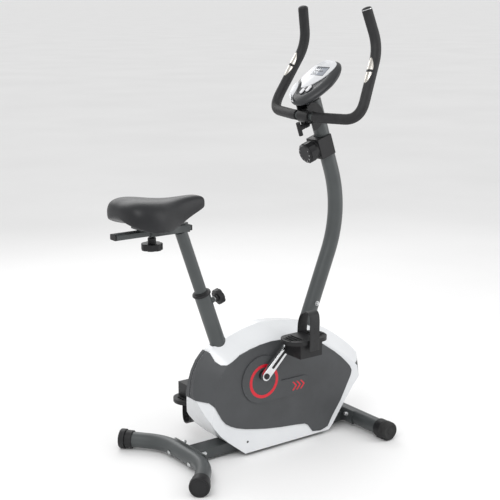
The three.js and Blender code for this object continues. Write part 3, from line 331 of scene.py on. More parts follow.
# ---- End caps and transport wheels ----
# Moulded black caps pushed over the stabilizers' ends, with a groove round each and a small
# flat foot. The front pair carries a wheel each, for tipping the bike forwards and rolling it.
cap_plastic, shader, place = open_material("moulded_black_plastic")
feed(
    shader,
    Base_Color=two_tone(place, 25, (0.006, 0.006, 0.007), (0.0095, 0.0095, 0.0105)),
    Roughness=0.42 + noise(place, 60.0) * 0.14,
    Normal=grain(place, 1400, 0.25, 0.0002),
    Specular_IOR_Level=0.4,
)
tyre, shader, place = open_material("wheel_rubber")
feed(
    shader,
    Base_Color=two_tone(place, 40, (0.014, 0.014, 0.014), (0.021, 0.021, 0.021)),
    Roughness=0.78,
    Normal=grain(place, 800, 0.4, 0.0003),
)


def turned(name, profile, start, towards, material, body, replaced=(), degrees=35, steps=48):
    """A turned piece: pairs of radius and distance in millimetres, spun about the line from start."""
    along = (towards - start).normalized()
    turn = Vector((0, 0, 1)).rotation_difference(along).to_matrix().to_4x4()
    work = bmesh.new()
    line = [work.verts.new((radius / 1000, 0, distance / 1000)) for radius, distance in profile]
    edges = [work.edges.new(pair) for pair in zip(line, line[1:])]
    bmesh.ops.spin(
        work, geom=line + edges, cent=(0, 0, 0), axis=(0, 0, 1), angle=2 * math.pi,
        steps=steps, use_merge=True, use_duplicate=False,
    )
    bmesh.ops.remove_doubles(work, verts=work.verts, dist=0.00001)
    bmesh.ops.recalc_face_normals(work, faces=work.faces)
    bmesh.ops.transform(work, matrix=Matrix.Translation(start) @ turn, verts=work.verts)
    mesh = to_mesh(work, name)
    shade_round(mesh, degrees)
    return new_piece(name, mesh, material, body, replaced)


def stand_on_floor(piece):
    """Cuts a piece off flat at the floor, as the foot of a cap is moulded."""
    work = bmesh.new()
    work.from_mesh(piece.data)
    just_above_floor = (0, 0, 0.00001)
    cut = bmesh.ops.bisect_plane(
        work, geom=work.verts[:] + work.edges[:] + work.faces[:], plane_co=just_above_floor,
        plane_no=(0, 0, -1), clear_outer=True,
    )
    rim = [item for item in cut["geom_cut"] if isinstance(item, bmesh.types.BMEdge)]
    if rim:
        bmesh.ops.holes_fill(work, edges=rim)
    work.to_mesh(piece.data)
    work.free()


for side, sign in (("left", 1), ("right", -1)):
    end = at(-366, sign * 217, 31.2)
    away = end + (end - at(-278, sign * 112, 31.2))
    rear_cap = turned(
        f"rear_cap_{side}_moulding",
        [
            (25.4, -24), (28.2, -24), (29, -23), (29, -3.5), (27.6, -2.6), (27.6, -0.8), (31, 0), (32, 1.2),
            (32, 15), (31.4, 17.5), (29.8, 19.2), (27.4, 19.8), (26, 19.4), (25, 18), (0, 18.6),
        ],
        end, away, cap_plastic, "frame", [f"rear_cap_{side}"],
    )
    stand_on_floor(rear_cap)
    front_end = at(366, sign * 214, 32)
    outwards = at(366, sign * 300, 32)
    turned(
        f"front_cap_{side}_moulding",
        [(26.5, -24), (29, -24), (30, -23), (30, 1.5), (29, 2.4), (8, 2.5), (8, 28), (0, 28)],
        front_end, outwards, cap_plastic, "frame", [f"front_cap_{side}"],
    )
    turned(
        f"transport_wheel_{side}_tyre",
        [
            (8.2, 3), (28.6, 3), (30.4, 3.8), (31, 5.4), (31, 13), (30.3, 13.5), (30.3, 15.5), (31, 16),
            (31, 24), (29.8, 28), (27, 30.2), (24, 30.9), (22, 30), (20, 28.8), (11, 28.8), (9.5, 30),
            (7, 30.8), (0, 31),
        ],
        front_end, outwards, tyre, f"transport_wheel_{side}", [f"transport_wheel_{side}"],
    )
    foot_work = bmesh.new()
    bmesh.ops.create_cube(foot_work, size=1.0)
    bmesh.ops.scale(foot_work, vec=(0.026, 0.0254, 0.012), verts=foot_work.verts)
    bmesh.ops.bevel(
        foot_work, geom=foot_work.edges[:], offset=0.0015, segments=3, profile=0.5,
        material=-1, affect="EDGES",
    )
    bmesh.ops.translate(foot_work, vec=at(366, sign * 203.2, 6), verts=foot_work.verts)
    foot_mesh = to_mesh(foot_work, f"front_foot_{side}")
    shade_round(foot_mesh)
    new_piece(f"front_foot_{side}", foot_mesh, cap_plastic, "frame")


# ---- Bolts ----
# Zinc-plated carriage bolts, dome nuts and hexagon screws hold the stabilizers and the post.
zinc, shader, place = open_material("zinc_plate")
feed(
    shader,
    Base_Color=two_tone(place, 60, (0.5, 0.51, 0.52), (0.62, 0.63, 0.63)),
    Metallic=1.0,
    Roughness=0.26 + noise(place, 90.0) * 0.16,
    Normal=grain(place, 600, 0.08, 0.0001),
)
for bolt in ("rear_bolt_left", "rear_bolt_right", "front_bolt_left", "front_bolt_right",
             "post_cross_bolt", "post_front_bolt"):
    softened(bolt, zinc, "frame", 0.0007, angle=40)


# ---- Drive inside the casing ----
# Bottom bracket, belt pulley, flat belt, cast flywheel and the magnetic brake's yoke. They show
# only through the gaps round the beam, so they keep their turned and pressed shapes.
drive_steel, shader, place = open_material("machined_steel")
feed(
    shader,
    Base_Color=two_tone(place, 30, (0.27, 0.28, 0.29), (0.34, 0.35, 0.36)),
    Metallic=1.0,
    Roughness=0.38,
    Normal=grain(place, 500, 0.1, 0.0001),
)
cast_iron, shader, place = open_material("turned_cast_iron")
feed(
    shader,
    Base_Color=two_tone(place, 45, (0.13, 0.135, 0.14), (0.18, 0.185, 0.19)),
    Metallic=0.9,
    Roughness=0.5,
    Normal=grain(place, 350, 0.3, 0.0003),
)
for node in ("crank_cartridge", "crank_axle", "magnet_yoke"):
    nodes[node].data.materials[0] = drive_steel
nodes["flywheel"].data.materials[0] = cast_iron
nodes["drive_pulley"].data.materials[0] = cap_plastic
nodes["drive_belt"].data.materials[0] = tyre
nodes["tension_cable"].data.materials[0] = tyre


# ---- Casing ----
# Two glossy white shells meet on a ridge down the middle and hide the drive, and are grey low down
# in front. A grained grey panel snaps on each, with a raised disc and tail round the crank.
white_gloss, shader, place = open_material("white_gloss_moulding")
feed(
    shader,
    Base_Color=two_tone(place, 6, (0.70, 0.715, 0.735), (0.74, 0.755, 0.77)),
    Roughness=0.2 + noise(place, 30.0) * 0.06,
    Normal=grain(place, 220, 0.02, 0.0002),
    Coat_Weight=0.4,
    Coat_Roughness=0.08,
)
panel_grey, shader, place = open_material("grained_grey_moulding")
feed(
    shader,
    Base_Color=two_tone(place, 12, (0.050, 0.0525, 0.056), (0.058, 0.061, 0.065)),
    Roughness=0.5 + noise(place, 70.0) * 0.12,
    Normal=grain(place, 1600, 0.3, 0.0002),
)
grey_below = at(180, 0, 224)
FACES_FORWARD = 0.3
for side in ("left", "right"):
    shell = softened(
        f"casing_{side}", white_gloss, "frame", 0.004, angle=24, segments=4
    )
    shell.data.materials.append(panel_grey)
    work = bmesh.new()
    work.from_mesh(shell.data)
    bmesh.ops.bisect_plane(
        work, geom=work.verts[:] + work.edges[:] + work.faces[:],
        plane_co=(0, 0, grey_below.z), plane_no=(0, 0, 1),
    )
    for face in work.faces:
        middle = face.calc_center_median()
        if middle.z < grey_below.z and face.normal.x > FACES_FORWARD and middle.x > grey_below.x:
            face.material_index = 1
    work.to_mesh(shell.data)
    work.free()
    softened(f"side_panel_{side}", panel_grey, "frame", 0.0014, angle=24)

red_ink, shader, place = open_material("printed_red")
feed(
    shader,
    Base_Color=two_tone(place, 20, (0.6, 0.003, 0.018), (0.66, 0.004, 0.022)),
    Roughness=0.35,
    Normal=grain(place, 900, 0.1, 0.0001),
)
# Near-black for the dark screw heads, and painted shade where holes and the crank groove are drawn as dark
# pieces.
near_black_and_hole_shade, shader, place = open_material("near_black_and_painted_hole_shade")
feed(shader, Base_Color=two_tone(place, 30, (0.004, 0.004, 0.004), (0.008, 0.008, 0.008)), Roughness=0.6)

BOSS_FACE = 78.6


def printed(name, outline, y, material, thickness=0.25):
    """A printed or stuck-on shape on a side panel: an outline in X and Z with a trace of thickness."""
    work = bmesh.new()
    face = work.faces.new([work.verts.new(at(x, y, z)) for x, z in outline])
    raised = bmesh.ops.extrude_face_region(work, geom=[face])
    verts = [item for item in raised["geom"] if isinstance(item, bmesh.types.BMVert)]
    bmesh.ops.translate(work, vec=(0, math.copysign(thickness / 1000, y), 0), verts=verts)
    bmesh.ops.recalc_face_normals(work, faces=work.faces)
    return new_piece(name, to_mesh(work, name), material, "frame")


for side, sign in (("left", 1), ("right", -1)):
    ring_centre = at(-30, sign * (BOSS_FACE - 0.4), 243)
    turned(
        f"red_ring_{side}", [(46, 0), (46, 0.7), (56, 0.7), (56, 0), (46, 0)],
        ring_centre, ring_centre + Vector((0, sign, 0)), red_ink, "frame",
    )
    # Painted shade: a near-black ring at each hub stands in for the shaded hole round the axle.
    hub = at(-34, sign * (BOSS_FACE - 6), 265)
    turned(
        f"crank_hole_shade_{side}", [(9.2, 0), (16, 0), (16, 6.6), (13, 7.2), (9.2, 7.2), (9.2, 0)],
        hub, hub + Vector((0, sign, 0)), near_black_and_hole_shade, "frame",
    )
    for step in range(3):
        x = 84 + 16 * step
        arrow = [(x, 216), (x + 6, 216), (x + 19, 202), (x + 6, 187), (x, 187), (x + 13, 202)]
        printed(f"chevron_{side}_{step + 1}", arrow, sign * (BOSS_FACE - 0.1), red_ink)
    for step, (x, z) in enumerate([(-89, 50), (203, 42)]):
        screw_place = at(x, sign * 69.6, z)
        turned(
            f"casing_screw_{side}_{step + 1}",
            [(0, 2.4), (2, 2.6), (4, 2.4), (5.5, 1.6), (6, 0.4), (6, -1), (0, -1)],
            screw_place, screw_place + Vector((0, sign, 0)), near_black_and_hole_shade, "frame",
        )


# ---- Crank arms ----
# Forged arms, polished and chrome plated, pressed on the axle's square ends. A long groove runs
# down the outer face, its shade painted as a near-black strip, and each arm carries its pedal's spindle.
chrome, shader, place = open_material("chrome_plate")
feed(
    shader,
    Base_Color=two_tone(place, 18, (0.62, 0.63, 0.64), (0.72, 0.73, 0.74)),
    Metallic=1.0,
    Roughness=0.1 + noise(place, 35.0) * 0.1,
    Normal=grain(place, 120, 0.03, 0.0002),
)
pedal_place = {"left": joint_at["pedal_left_spin"], "right": joint_at["pedal_right_spin"]}
for side, sign in (("left", 1), ("right", -1)):
    softened(f"crank_arm_{side}", chrome, "crankset", 0.0022, angle=40, segments=4)
    reach = pedal_place[side] - crank_centre
    along = Vector((reach.x, 0, reach.z)).normalized()
    # Painted shade: a near-black strip along the groove stands in for the shade inside it.
    groove = bmesh.new()
    bmesh.ops.create_cube(groove, size=1.0)
    bmesh.ops.scale(groove, vec=(0.088, 0.0012, 0.009), verts=groove.verts)
    ends = [edge for edge in groove.edges if abs(edge.verts[0].co.y - edge.verts[1].co.y) > 0.0005]
    bmesh.ops.bevel(
        groove, geom=ends, offset=0.0044, segments=6, profile=0.5, material=-1, affect="EDGES"
    )
    lean = Matrix.Rotation(-math.atan2(along.z, along.x), 4, "Y")
    middle = Vector((crank_centre.x, sign * 0.0992, crank_centre.z)) + along * 0.075
    bmesh.ops.transform(groove, matrix=Matrix.Translation(middle) @ lean, verts=groove.verts)
    mesh = to_mesh(groove, f"crank_groove_shade_{side}")
    new_piece(mesh.name, mesh, near_black_and_hole_shade, "crankset")
    cap_start = Vector((crank_centre.x, sign * 0.0988, crank_centre.z))
    turned(
        f"crank_end_cap_{side}", [(0, 5), (5, 4.8), (8, 4.2), (9.4, 3), (9.8, 0), (8.6, 0)],
        cap_start, cap_start + Vector((0, sign, 0)), cap_plastic, "crankset",
    )


# ---- Pedals and straps ----
# Moulded black platforms with slots and rows of tread ribs, a ballast block below that turns
# them upright, and a rubber strap with a row of holes that hooks over the platform's edges.
strap_rubber, shader, place = open_material("strap_rubber")
feed(
    shader,
    Base_Color=two_tone(place, 30, (0.008, 0.008, 0.009), (0.014, 0.014, 0.015)),
    Roughness=0.6,
    Normal=grain(place, 900, 0.3, 0.0002),
)
FIRST_RIB, RIB_PITCH = 27, 13
STRAP_LEAN = 0.034
STRAP_ACROSS = 0.104
BAND_WIDTH = 0.038
BAND_STRIPS = 6
for side, sign in (("left", 1), ("right", -1)):
    up = 1 if side == "right" else -1
    centre = pedal_place[side]
    softened(f"pedal_{side}", cap_plastic, f"pedal_{side}", 0.0012, angle=40)
    for row in (-1, 1):
        for rib in range(4):
            x = row * (FIRST_RIB + RIB_PITCH * rib)
            half = 30 - 6 * max(0, rib - 1)
            work = bmesh.new()
            bmesh.ops.create_cube(work, size=1.0)
            bmesh.ops.scale(work, vec=(0.0028, 2 * half / 1000, 0.003), verts=work.verts)
            bmesh.ops.bevel(
                work, geom=work.edges[:], offset=0.0007, segments=2, profile=0.5,
                material=-1, affect="EDGES",
            )
            bmesh.ops.translate(
                work, vec=centre + Vector((up * x / 1000, 0, up * 0.0268)), verts=work.verts
            )
            mesh = to_mesh(work, f"tread_{side}_{'rear' if row < 0 else 'front'}_{rib + 1}")
            new_piece(mesh.name, mesh, cap_plastic, f"pedal_{side}")

    loop = [
        (-49, -8), (-50, 14), (-49.5, 40), (-44, 63), (-29, 86), (-8, 99), (14, 108.5), (32, 112),
        (46, 108), (53, 94), (53.5, 60), (53.5, 20), (52, -8),
    ]
    band = bpy.data.curves.new(f"strap_{side}_line", "CURVE")
    band.dimensions = "3D"
    band.resolution_u = 8
    spline = band.splines.new("BEZIER")
    spline.bezier_points.add(len(loop) - 1)
    for spot, (outwards, z) in zip(spline.bezier_points, loop):
        spot.co = centre + Vector((0, sign * outwards / 1000, up * z / 1000))
        spot.handle_left_type = "AUTO"
        spot.handle_right_type = "AUTO"
    band_object = bpy.data.objects.new(f"strap_{side}_line", band)
    bpy.context.scene.collection.objects.link(band_object)
    bpy.context.view_layer.update()
    mesh = bpy.data.meshes.new_from_object(
        band_object.evaluated_get(bpy.context.evaluated_depsgraph_get())
    )
    bpy.data.objects.remove(band_object)
    work = bmesh.new()
    work.from_mesh(mesh)
    bmesh.ops.translate(work, vec=(-BAND_WIDTH / 2, 0, 0), verts=work.verts)
    for strip in range(BAND_STRIPS):
        front_x = centre.x - BAND_WIDTH / 2 + BAND_WIDTH * strip / BAND_STRIPS
        rim = [edge for edge in work.edges if edge.is_wire or edge.is_boundary]
        front = [edge for edge in rim if all(abs(vert.co.x - front_x) < 1e-5 for vert in edge.verts)]
        grown = bmesh.ops.extrude_edge_only(work, edges=front)
        verts = [item for item in grown["geom"] if isinstance(item, bmesh.types.BMVert)]
        bmesh.ops.translate(work, vec=(BAND_WIDTH / BAND_STRIPS, 0, 0), verts=verts)
    for vert in work.verts:
        vert.co.x += up * STRAP_LEAN * (0.5 - sign * (vert.co.y - centre.y) / STRAP_ACROSS)
    bmesh.ops.recalc_face_normals(work, faces=work.faces)
    work.to_mesh(mesh)
    work.free()
    mesh.name = f"pedal_strap_{side}_band"
    strap = new_piece(
        mesh.name, mesh, strap_rubber, f"pedal_{side}", [f"pedal_strap_{side}"]
    )
    wall = strap.modifiers.new("band thickness", "SOLIDIFY")
    wall.thickness = 0.003
    wall.offset = 0
    rounded = strap.modifiers.new("rounded edges", "BEVEL")
    rounded.width = 0.0009
    rounded.segments = 2
    for face in mesh.polygons:
        face.use_smooth = True
    # Painted shade: the strap's holes are not cut; near-black discs on the band stand for the shade seen
    # through them.
    for spot in range(5):
        hole_centre = centre + Vector((0, sign * 0.0535, up * (0.024 + 0.013 * spot)))
        turned(
            f"strap_hole_shade_{side}_{spot + 1}", [(0, 1.7), (2.6, 1.7), (3.2, 1.3), (3.2, 0), (0, 0)],
            hole_centre, hole_centre + Vector((0, sign, 0)), near_black_and_hole_shade, f"pedal_{side}", steps=20,
        )


# ---- Seat tube, collar and height pin ----
# The lower tube is 50 mm, with a stepped plastic collar pressed in its top. A lobed knob in front
# pulls a spring pin out of the seat post's row of holes.
joint_axis = {joint["name"]: Vector(joint["axis"]) for joint in frame["joints"]}
seat_up = joint_axis["seat_height"]
seat_front = joint_axis["height_pin_pull"]
seat_foot = at(-36, 0, 43)


def on_seat_axis(distance):
    """A place on the seat tube's axis, in millimetres up from the beam."""
    return seat_foot + seat_up * (distance / 1000)


round_tube(
    "seat_tube_steel", [on_seat_axis(16), on_seat_axis(523.5)], 0.025, paint, "frame",
    ["seat_tube"], capped=False,
)
round_tube(
    "bottom_bracket_shell", [crank_centre + Vector((0, y, 0)) for y in (-0.034, 0.034)], 0.022,
    paint, "frame",
)
collar_top = on_seat_axis(524)
turned(
    "seat_collar",
    [
        (19.8, -40), (22.2, -40), (22.2, 0.3), (27.4, 0.3), (28.6, 1.2), (29.5, 3), (29.2, 6), (28, 8.6),
        (24.5, 9.4), (23, 10.4), (22.4, 12.4), (21.4, 13), (19.8, 13), (19.8, -40),
    ],
    collar_top, collar_top + seat_up, cap_plastic, "frame", ["seat_tube_collar"],
)
pin_centre = on_seat_axis(490)
turned(
    "pin_boss", [(5.4, 23), (9, 23), (9, 34.2), (8.4, 35), (5.4, 35)],
    pin_centre, pin_centre + seat_front, paint, "frame",
)
turned(
    "pin_bush", [(5.3, 35.1), (7.4, 35.1), (7.4, 38.4), (6.6, 39), (5.3, 39)],
    pin_centre, pin_centre + seat_front, zinc, "frame",
)
softened("height_pin_knob", cap_plastic, "height_pin_knob", 0.0016, angle=48)


# ---- Seat post, rail and slider ----
# A 38 mm post is welded under a rectangular sleeve. The smaller slider runs in the sleeve, plugged
# at both ends, and a big lobed knob below clamps it.
round_tube(
    "seat_post_steel", [on_seat_axis(270), on_seat_axis(744.5)], 0.019, paint, "seat_post",
    ["seat_post"],
)
SLOT_HALF = 0.009
sleeve = bmesh.new()
bmesh.ops.create_cube(sleeve, size=1.0)
bmesh.ops.scale(sleeve, vec=(0.134, 0.038, 0.024), verts=sleeve.verts)
long_edges = [e for e in sleeve.edges if abs(e.verts[0].co.x - e.verts[1].co.x) > 0.1]
bmesh.ops.bevel(
    sleeve, geom=long_edges, offset=0.004, segments=4, profile=0.5, material=-1, affect="EDGES"
)
open_ends = [face for face in sleeve.faces if abs(face.normal.x) > 0.9]
bmesh.ops.delete(sleeve, geom=open_ends, context="FACES_ONLY")
for edge_of_slot in (-SLOT_HALF, SLOT_HALF):
    bmesh.ops.bisect_plane(
        sleeve, geom=sleeve.verts[:] + sleeve.edges[:] + sleeve.faces[:],
        plane_co=(0, edge_of_slot, 0), plane_no=(0, 1, 0),
    )
upper_faces = [face for face in sleeve.faces if face.calc_center_median().z > 0.011]
slot_faces = [face for face in upper_faces if abs(face.calc_center_median().y) < SLOT_HALF]
bmesh.ops.delete(sleeve, geom=slot_faces, context="FACES")
bmesh.ops.translate(sleeve, vec=at(-329, 0, 756), verts=sleeve.verts)
sleeve_mesh = to_mesh(sleeve, "rail_sleeve")
shade_round(sleeve_mesh)
rail = new_piece("rail_sleeve", sleeve_mesh, paint, "seat_post")
wall = rail.modifiers.new("tube wall", "SOLIDIFY")
wall.thickness = 0.002
wall.offset = -1
softened("seat_slider", paint, "saddle_slider", 0.0008, angle=40)
softened("slider_cap_rear", cap_plastic, "saddle_slider", 0.001)
softened("slider_cap_front", cap_plastic, "saddle_slider", 0.001)
softened("slide_knob", cap_plastic, "slide_knob", 0.002, angle=48)


# ---- Saddle ----
# Vinyl stretched over foam on a hard base: wide and full behind, waisted in the middle, with a
# long raised nose and a soft fold where the cover turns under the skirt.
vinyl, shader, place = open_material("saddle_vinyl_cover")
pores = place.node("ShaderNodeTexVoronoi", inputs={"Vector": place, "Scale": 620.0})
pebble = noise(place, 380.0, 5.0)
feed(
    shader,
    Base_Color=two_tone(place, 16, (0.0075, 0.008, 0.0095), (0.012, 0.0125, 0.0145)),
    Roughness=0.4 + pebble * 0.16,
    Normal=bump(pores * 0.6 + pebble * 0.5, 0.35, 0.0004),
    Specular_IOR_Level=0.35,
    Coat_Weight=0.05,
    Coat_Roughness=0.35,
)
# Each row is a section across the saddle: its place along the bike, half width, crown height,
# how far the middle sinks below the crown, and the skirt's height.
saddle_rows = [
    (-502, 30, 836, 0, 812), (-497, 62, 846, 1, 801), (-484, 88, 857, 2, 792),
    (-458, 101, 864.5, 4, 780), (-425, 105, 863, 6, 771), (-392, 97, 858, 6, 766),
    (-360, 80, 853, 4, 764), (-330, 60, 850.5, 2, 768), (-300, 45, 850.5, 0, 778),
    (-268, 35, 852, 0, 792), (-238, 29, 852.5, 0, 803), (-216, 23, 848, 0, 811), (-203, 15, 841, 0, 817),
]
# Round one section: share of the half width, and share of the way up from skirt to crown.
saddle_round = [
    (0.0, 1.0, 1), (0.28, 1.0, 0.5), (0.56, 0.965, 0), (0.8, 0.87, 0), (0.95, 0.66, 0), (1.0, 0.4, 0),
    (0.985, 0.16, 0), (0.93, 0.02, 0), (0.82, 0.0, 0), (0.4, 0.1, 0), (0.0, 0.1, 0),
]
saddle = bmesh.new()
loops = []
for x, half, top, sink, skirt in saddle_rows:
    right = [
        at(x, -half * across, skirt + (top - skirt) * rise - sink * dip)
        for across, rise, dip in saddle_round
    ]
    left = [Vector((p.x, -p.y, p.z)) for p in right[-2:0:-1]]
    ring = [saddle.verts.new(p) for p in right + left]
    loops.append([saddle.edges.new(pair) for pair in zip(ring, ring[1:] + ring[:1])])
for before, after in zip(loops, loops[1:]):
    bmesh.ops.bridge_loops(saddle, edges=before + after)
bmesh.ops.holes_fill(saddle, edges=loops[0])
bmesh.ops.holes_fill(saddle, edges=loops[-1])
bmesh.ops.recalc_face_normals(saddle, faces=saddle.faces)
for face in saddle.faces:
    face.smooth = True
saddle_mesh = to_mesh(saddle, "saddle_cover")
saddle_piece = new_piece(
    "saddle_cover", saddle_mesh, vinyl, "saddle_slider", ["saddle"]
)
rounding = saddle_piece.modifiers.new("soft cover", "SUBSURF")
rounding.levels = 3
rounding.render_levels = 3


# ---- Steering post ----
# A 50 mm tube, bent once, slipped over its stub and bolted from the side and in front. The brake's
# cable runs inside it.
post_foot = at(200.6, 0, 381)
post_corner = at(344.5, 0, 744.2)
post_up = Vector((-0.343, 0, 1)).normalized()
POST_HEIGHT = 1.112
post_top = post_corner + post_up * ((POST_HEIGHT - 0.7442) / post_up.z)
round_tube(
    "steering_tube", bent_path([post_foot, post_corner, post_top], [0.15], 24), 0.025, paint, "frame",
    ["steering_post"],
)


# ---- Handlebar, grips and pulse sensors ----
# One 25 mm tube bent into a U that rises towards the rider. Closed-cell foam sleeves cover it from
# beside the clamp to the domed end plugs, and a steel touch plate wraps the rider's side of each.
foam, shader, place = open_material("grip_foam_sleeve")
cells = place.node("ShaderNodeTexVoronoi", inputs={"Vector": place, "Scale": 900.0})
clumps = noise(place, 260.0, 6.0)
feed(
    shader,
    Base_Color=two_tone(place, 60, (0.006, 0.006, 0.007), (0.011, 0.011, 0.0125)),
    Roughness=0.52 + clumps * 0.2,
    Normal=bump(cells * 0.7 + clumps * 0.6, 0.5, 0.0005),
)
sensor_steel, shader, place = open_material("pressed_sensor_steel")
feed(
    shader,
    Base_Color=two_tone(place, 50, (0.5, 0.475, 0.44), (0.6, 0.575, 0.535)),
    Metallic=0.9,
    Roughness=0.24,
    Normal=grain(place, 300, 0.05, 0.0001),
)


PLATE_UP_BAR = 0.158
PLATE_HALF_LENGTH = 0.043
PLATE_HALF_WIDTH = 0.0155


def bar_corners(sign):
    """The handlebar's corners down one side, from the plug to the clamp."""
    side_view = [(299, 156, 1390), (329, 177, 1277), (223, 221, 1064), (192, 62, 1060)]
    return [at(x, sign * y, z) for x, y, z in side_view]


bar_line = bent_path(
    bar_corners(1) + bar_corners(-1)[::-1], [0.05, 0.062, 0.016, 0.016, 0.062, 0.05], 16
)
round_tube("handlebar_tube", bar_line, 0.0125, paint, "handlebar", ["handlebar"])
for side, sign in (("left", 1), ("right", -1)):
    covered = [point for point in bar_line if sign * point.y > 0.062 - 1e-6]
    if sign > 0:
        covered = covered[::-1]
    inner = at(192.0, sign * 44, 1060)
    inner_end = at(192.0, sign * 45.5, 1060)
    sleeve_line = [inner_end] + covered
    grip = round_tube(
        f"grip_{side}_sleeve", sleeve_line, 0.0165, foam, "handlebar", [f"grip_{side}"]
    )
    turned(
        f"grip_{side}_end", [(13, 0), (15.2, 0.1), (16.2, 0.7), (16.5, 2)], inner, inner_end,
        foam, "handlebar",
    )
    tip = bar_corners(sign)[0]
    out = tip + (tip - bar_corners(sign)[1])
    turned(
        f"end_plug_{side}_dome",
        [
            (0, -10), (9, -10), (9, 0.3), (15.4, 0.3), (16.2, 0.9), (16.2, 2.4), (15.4, 4.4), (13, 6.6),
            (9, 8.2), (4, 8.9), (0, 9),
        ],
        tip, out, cap_plastic, "handlebar", [f"end_plug_{side}"], degrees=60,
    )
    if side == "right":
        turned(
            "end_plug_right_ring",
            [(15.6, 0.2), (16.7, 0.3), (16.9, 1.2), (16.7, 2.3), (15.6, 2.4), (15.6, 0.2)],
            tip, out, chrome, "handlebar",
        )
    low, high = bar_corners(sign)[2], bar_corners(sign)[1]
    up = (high - low).normalized()
    middle = low + up * PLATE_UP_BAR
    across = (Vector((0, -1, 0)) + up * up.y).normalized()
    facing = across.cross(up)
    plate = bmesh.new()
    bmesh.ops.create_grid(plate, x_segments=16, y_segments=30, size=1.0)
    for face in plate.faces:
        face.smooth = True
        face.material_index = 1 if abs(face.calc_center_median().y) < 0.1 else 0
    for vert in plate.verts:
        share = vert.co.y
        half = PLATE_HALF_WIDTH * (1 - share**2) ** 0.75 + 0.0004
        angle = vert.co.x * half / 0.0178
        bulge = 0.0172 + 0.0011 * (1 - vert.co.x**2) * (1 - share**2)
        along_bar = middle + up * (share * PLATE_HALF_LENGTH)
        vert.co = along_bar + across * (math.sin(angle) * bulge) + facing * (math.cos(angle) * bulge)
    bmesh.ops.recalc_face_normals(plate, faces=plate.faces)
    mesh = to_mesh(plate, f"pulse_plate_{side}")
    mesh.materials.append(sensor_steel)
    mesh.materials.append(cap_plastic)
    sensor = new_piece(mesh.name, mesh, None, "handlebar", [f"pulse_sensor_{side}"])
    wall = sensor.modifiers.new("plate thickness", "SOLIDIFY")
    wall.thickness = 0.0008


# ---- Clamp ----
# A two-part moulded clamshell holds the bar behind the post. A T-shaped knob draws it tight.
softened("clamp_base", cap_plastic, "frame", 0.0012, angle=40)
softened("clamp_cap", cap_plastic, "frame", 0.0014, angle=40)
softened("clamp_knob", cap_plastic, "clamp_knob", 0.0016, angle=40)


# ---- Tension control ----
# A moulded housing wraps the post, with a fluted knob facing the rider. Pale marks of growing
# length are printed round the knob's skirt and turn with it. The knob draws the brake's cable.
softened("tension_housing", cap_plastic, "frame", 0.004, angle=40, segments=5)
softened("tension_knob", cap_plastic, "tension_knob", 0.0012, angle=40)
mark_ink, shader, place = open_material("printed_pale_grey")
feed(shader, Base_Color=two_tone(place, 30, (0.5, 0.5, 0.5), (0.62, 0.62, 0.62)), Roughness=0.5)
MARKS = 8
MARK_SWEEP = 240
knob_place = joint_at["tension_knob_turn"]
knob_out = joint_axis["tension_knob_turn"]
knob_side = Vector((0, 1, 0))
knob_up = knob_out.cross(knob_side)
for mark in range(MARKS):
    angle = math.radians(-MARK_SWEEP / 2 + MARK_SWEEP * mark / (MARKS - 1))
    outwards = knob_up * math.cos(angle) + knob_side * math.sin(angle)
    tick = bmesh.new()
    bmesh.ops.create_cube(tick, size=1.0)
    bmesh.ops.scale(tick, vec=(0.0014, 0.0004, 0.0045 + 0.0006 * mark), verts=tick.verts)
    basis = Matrix((outwards.cross(knob_out), knob_out, outwards)).transposed().to_4x4()
    seat = knob_place + knob_out * 0.0871 + outwards * 0.0245
    bmesh.ops.transform(tick, matrix=Matrix.Translation(seat) @ basis, verts=tick.verts)
    mesh = to_mesh(tick, f"dial_mark_{mark + 1}")
    new_piece(mesh.name, mesh, mark_ink, "tension_knob")


# ---- Display console ----
# An egg-shaped dark housing on the post's top, leaning towards the rider. A white face carries a
# small liquid-crystal window set in a recess, its shade painted as a dark frame, with two white push
# buttons below it.
console_dark, shader, place = open_material("console_dark_moulding")
feed(
    shader,
    Base_Color=two_tone(place, 18, (0.014, 0.0155, 0.0175), (0.02, 0.0215, 0.0245)),
    Roughness=0.36 + noise(place, 50.0) * 0.1,
    Normal=grain(place, 1300, 0.15, 0.0002),
)
face_white, shader, place = open_material("console_face_white")
feed(
    shader,
    Base_Color=two_tone(place, 16, (0.6, 0.61, 0.63), (0.66, 0.67, 0.69)),
    Roughness=0.3,
    Normal=grain(place, 1000, 0.06, 0.0001),
)
crystal, shader, place = open_material("liquid_crystal")
feed(
    shader,
    Base_Color=two_tone(place, 40, (0.2, 0.22, 0.26), (0.26, 0.28, 0.32)),
    Roughness=0.16,
    Coat_Weight=0.8,
    Coat_Roughness=0.04,
)
button_white, shader, place = open_material("button_white")
feed(
    shader,
    Base_Color=two_tone(place, 30, (0.64, 0.64, 0.66), (0.7, 0.7, 0.72)),
    Roughness=0.4,
    Normal=grain(place, 900, 0.1, 0.0001),
)
console_normal = -joint_axis["button_mode_press"]
console_along = Vector((console_normal.z, 0, -console_normal.x))
console_centre = at(221.3, 0, 1174.2)
console_basis = Matrix.Translation(console_centre) @ Matrix(
    (Vector((0, -1, 0)), console_along, console_normal)
).transposed().to_4x4()


EGG_HALF_WIDTH = 0.080
EGG_UPPER = 0.098
EGG_LOWER = 0.104


def egg(work, inset, depth, segments=72):
    """A ring of the console's egg outline, drawn in by the inset, at a height over its face."""
    ring = bmesh.ops.create_circle(work, cap_ends=False, segments=segments, radius=1.0)["verts"]
    for vert in ring:
        angle = math.atan2(vert.co.y, vert.co.x)
        across = math.copysign(abs(math.cos(angle)) ** 0.88, math.cos(angle))
        lengthways = math.copysign(abs(math.sin(angle)) ** 0.96, math.sin(angle))
        reach = EGG_UPPER if lengthways > 0 else EGG_LOWER
        taper = 1.0 + min(0.0, lengthways) * 0.16
        vert.co = Vector(((EGG_HALF_WIDTH - inset) * across * taper, (reach - inset) * lengthways, depth))
    return [edge for edge in work.edges if all(v in ring for v in edge.verts)]


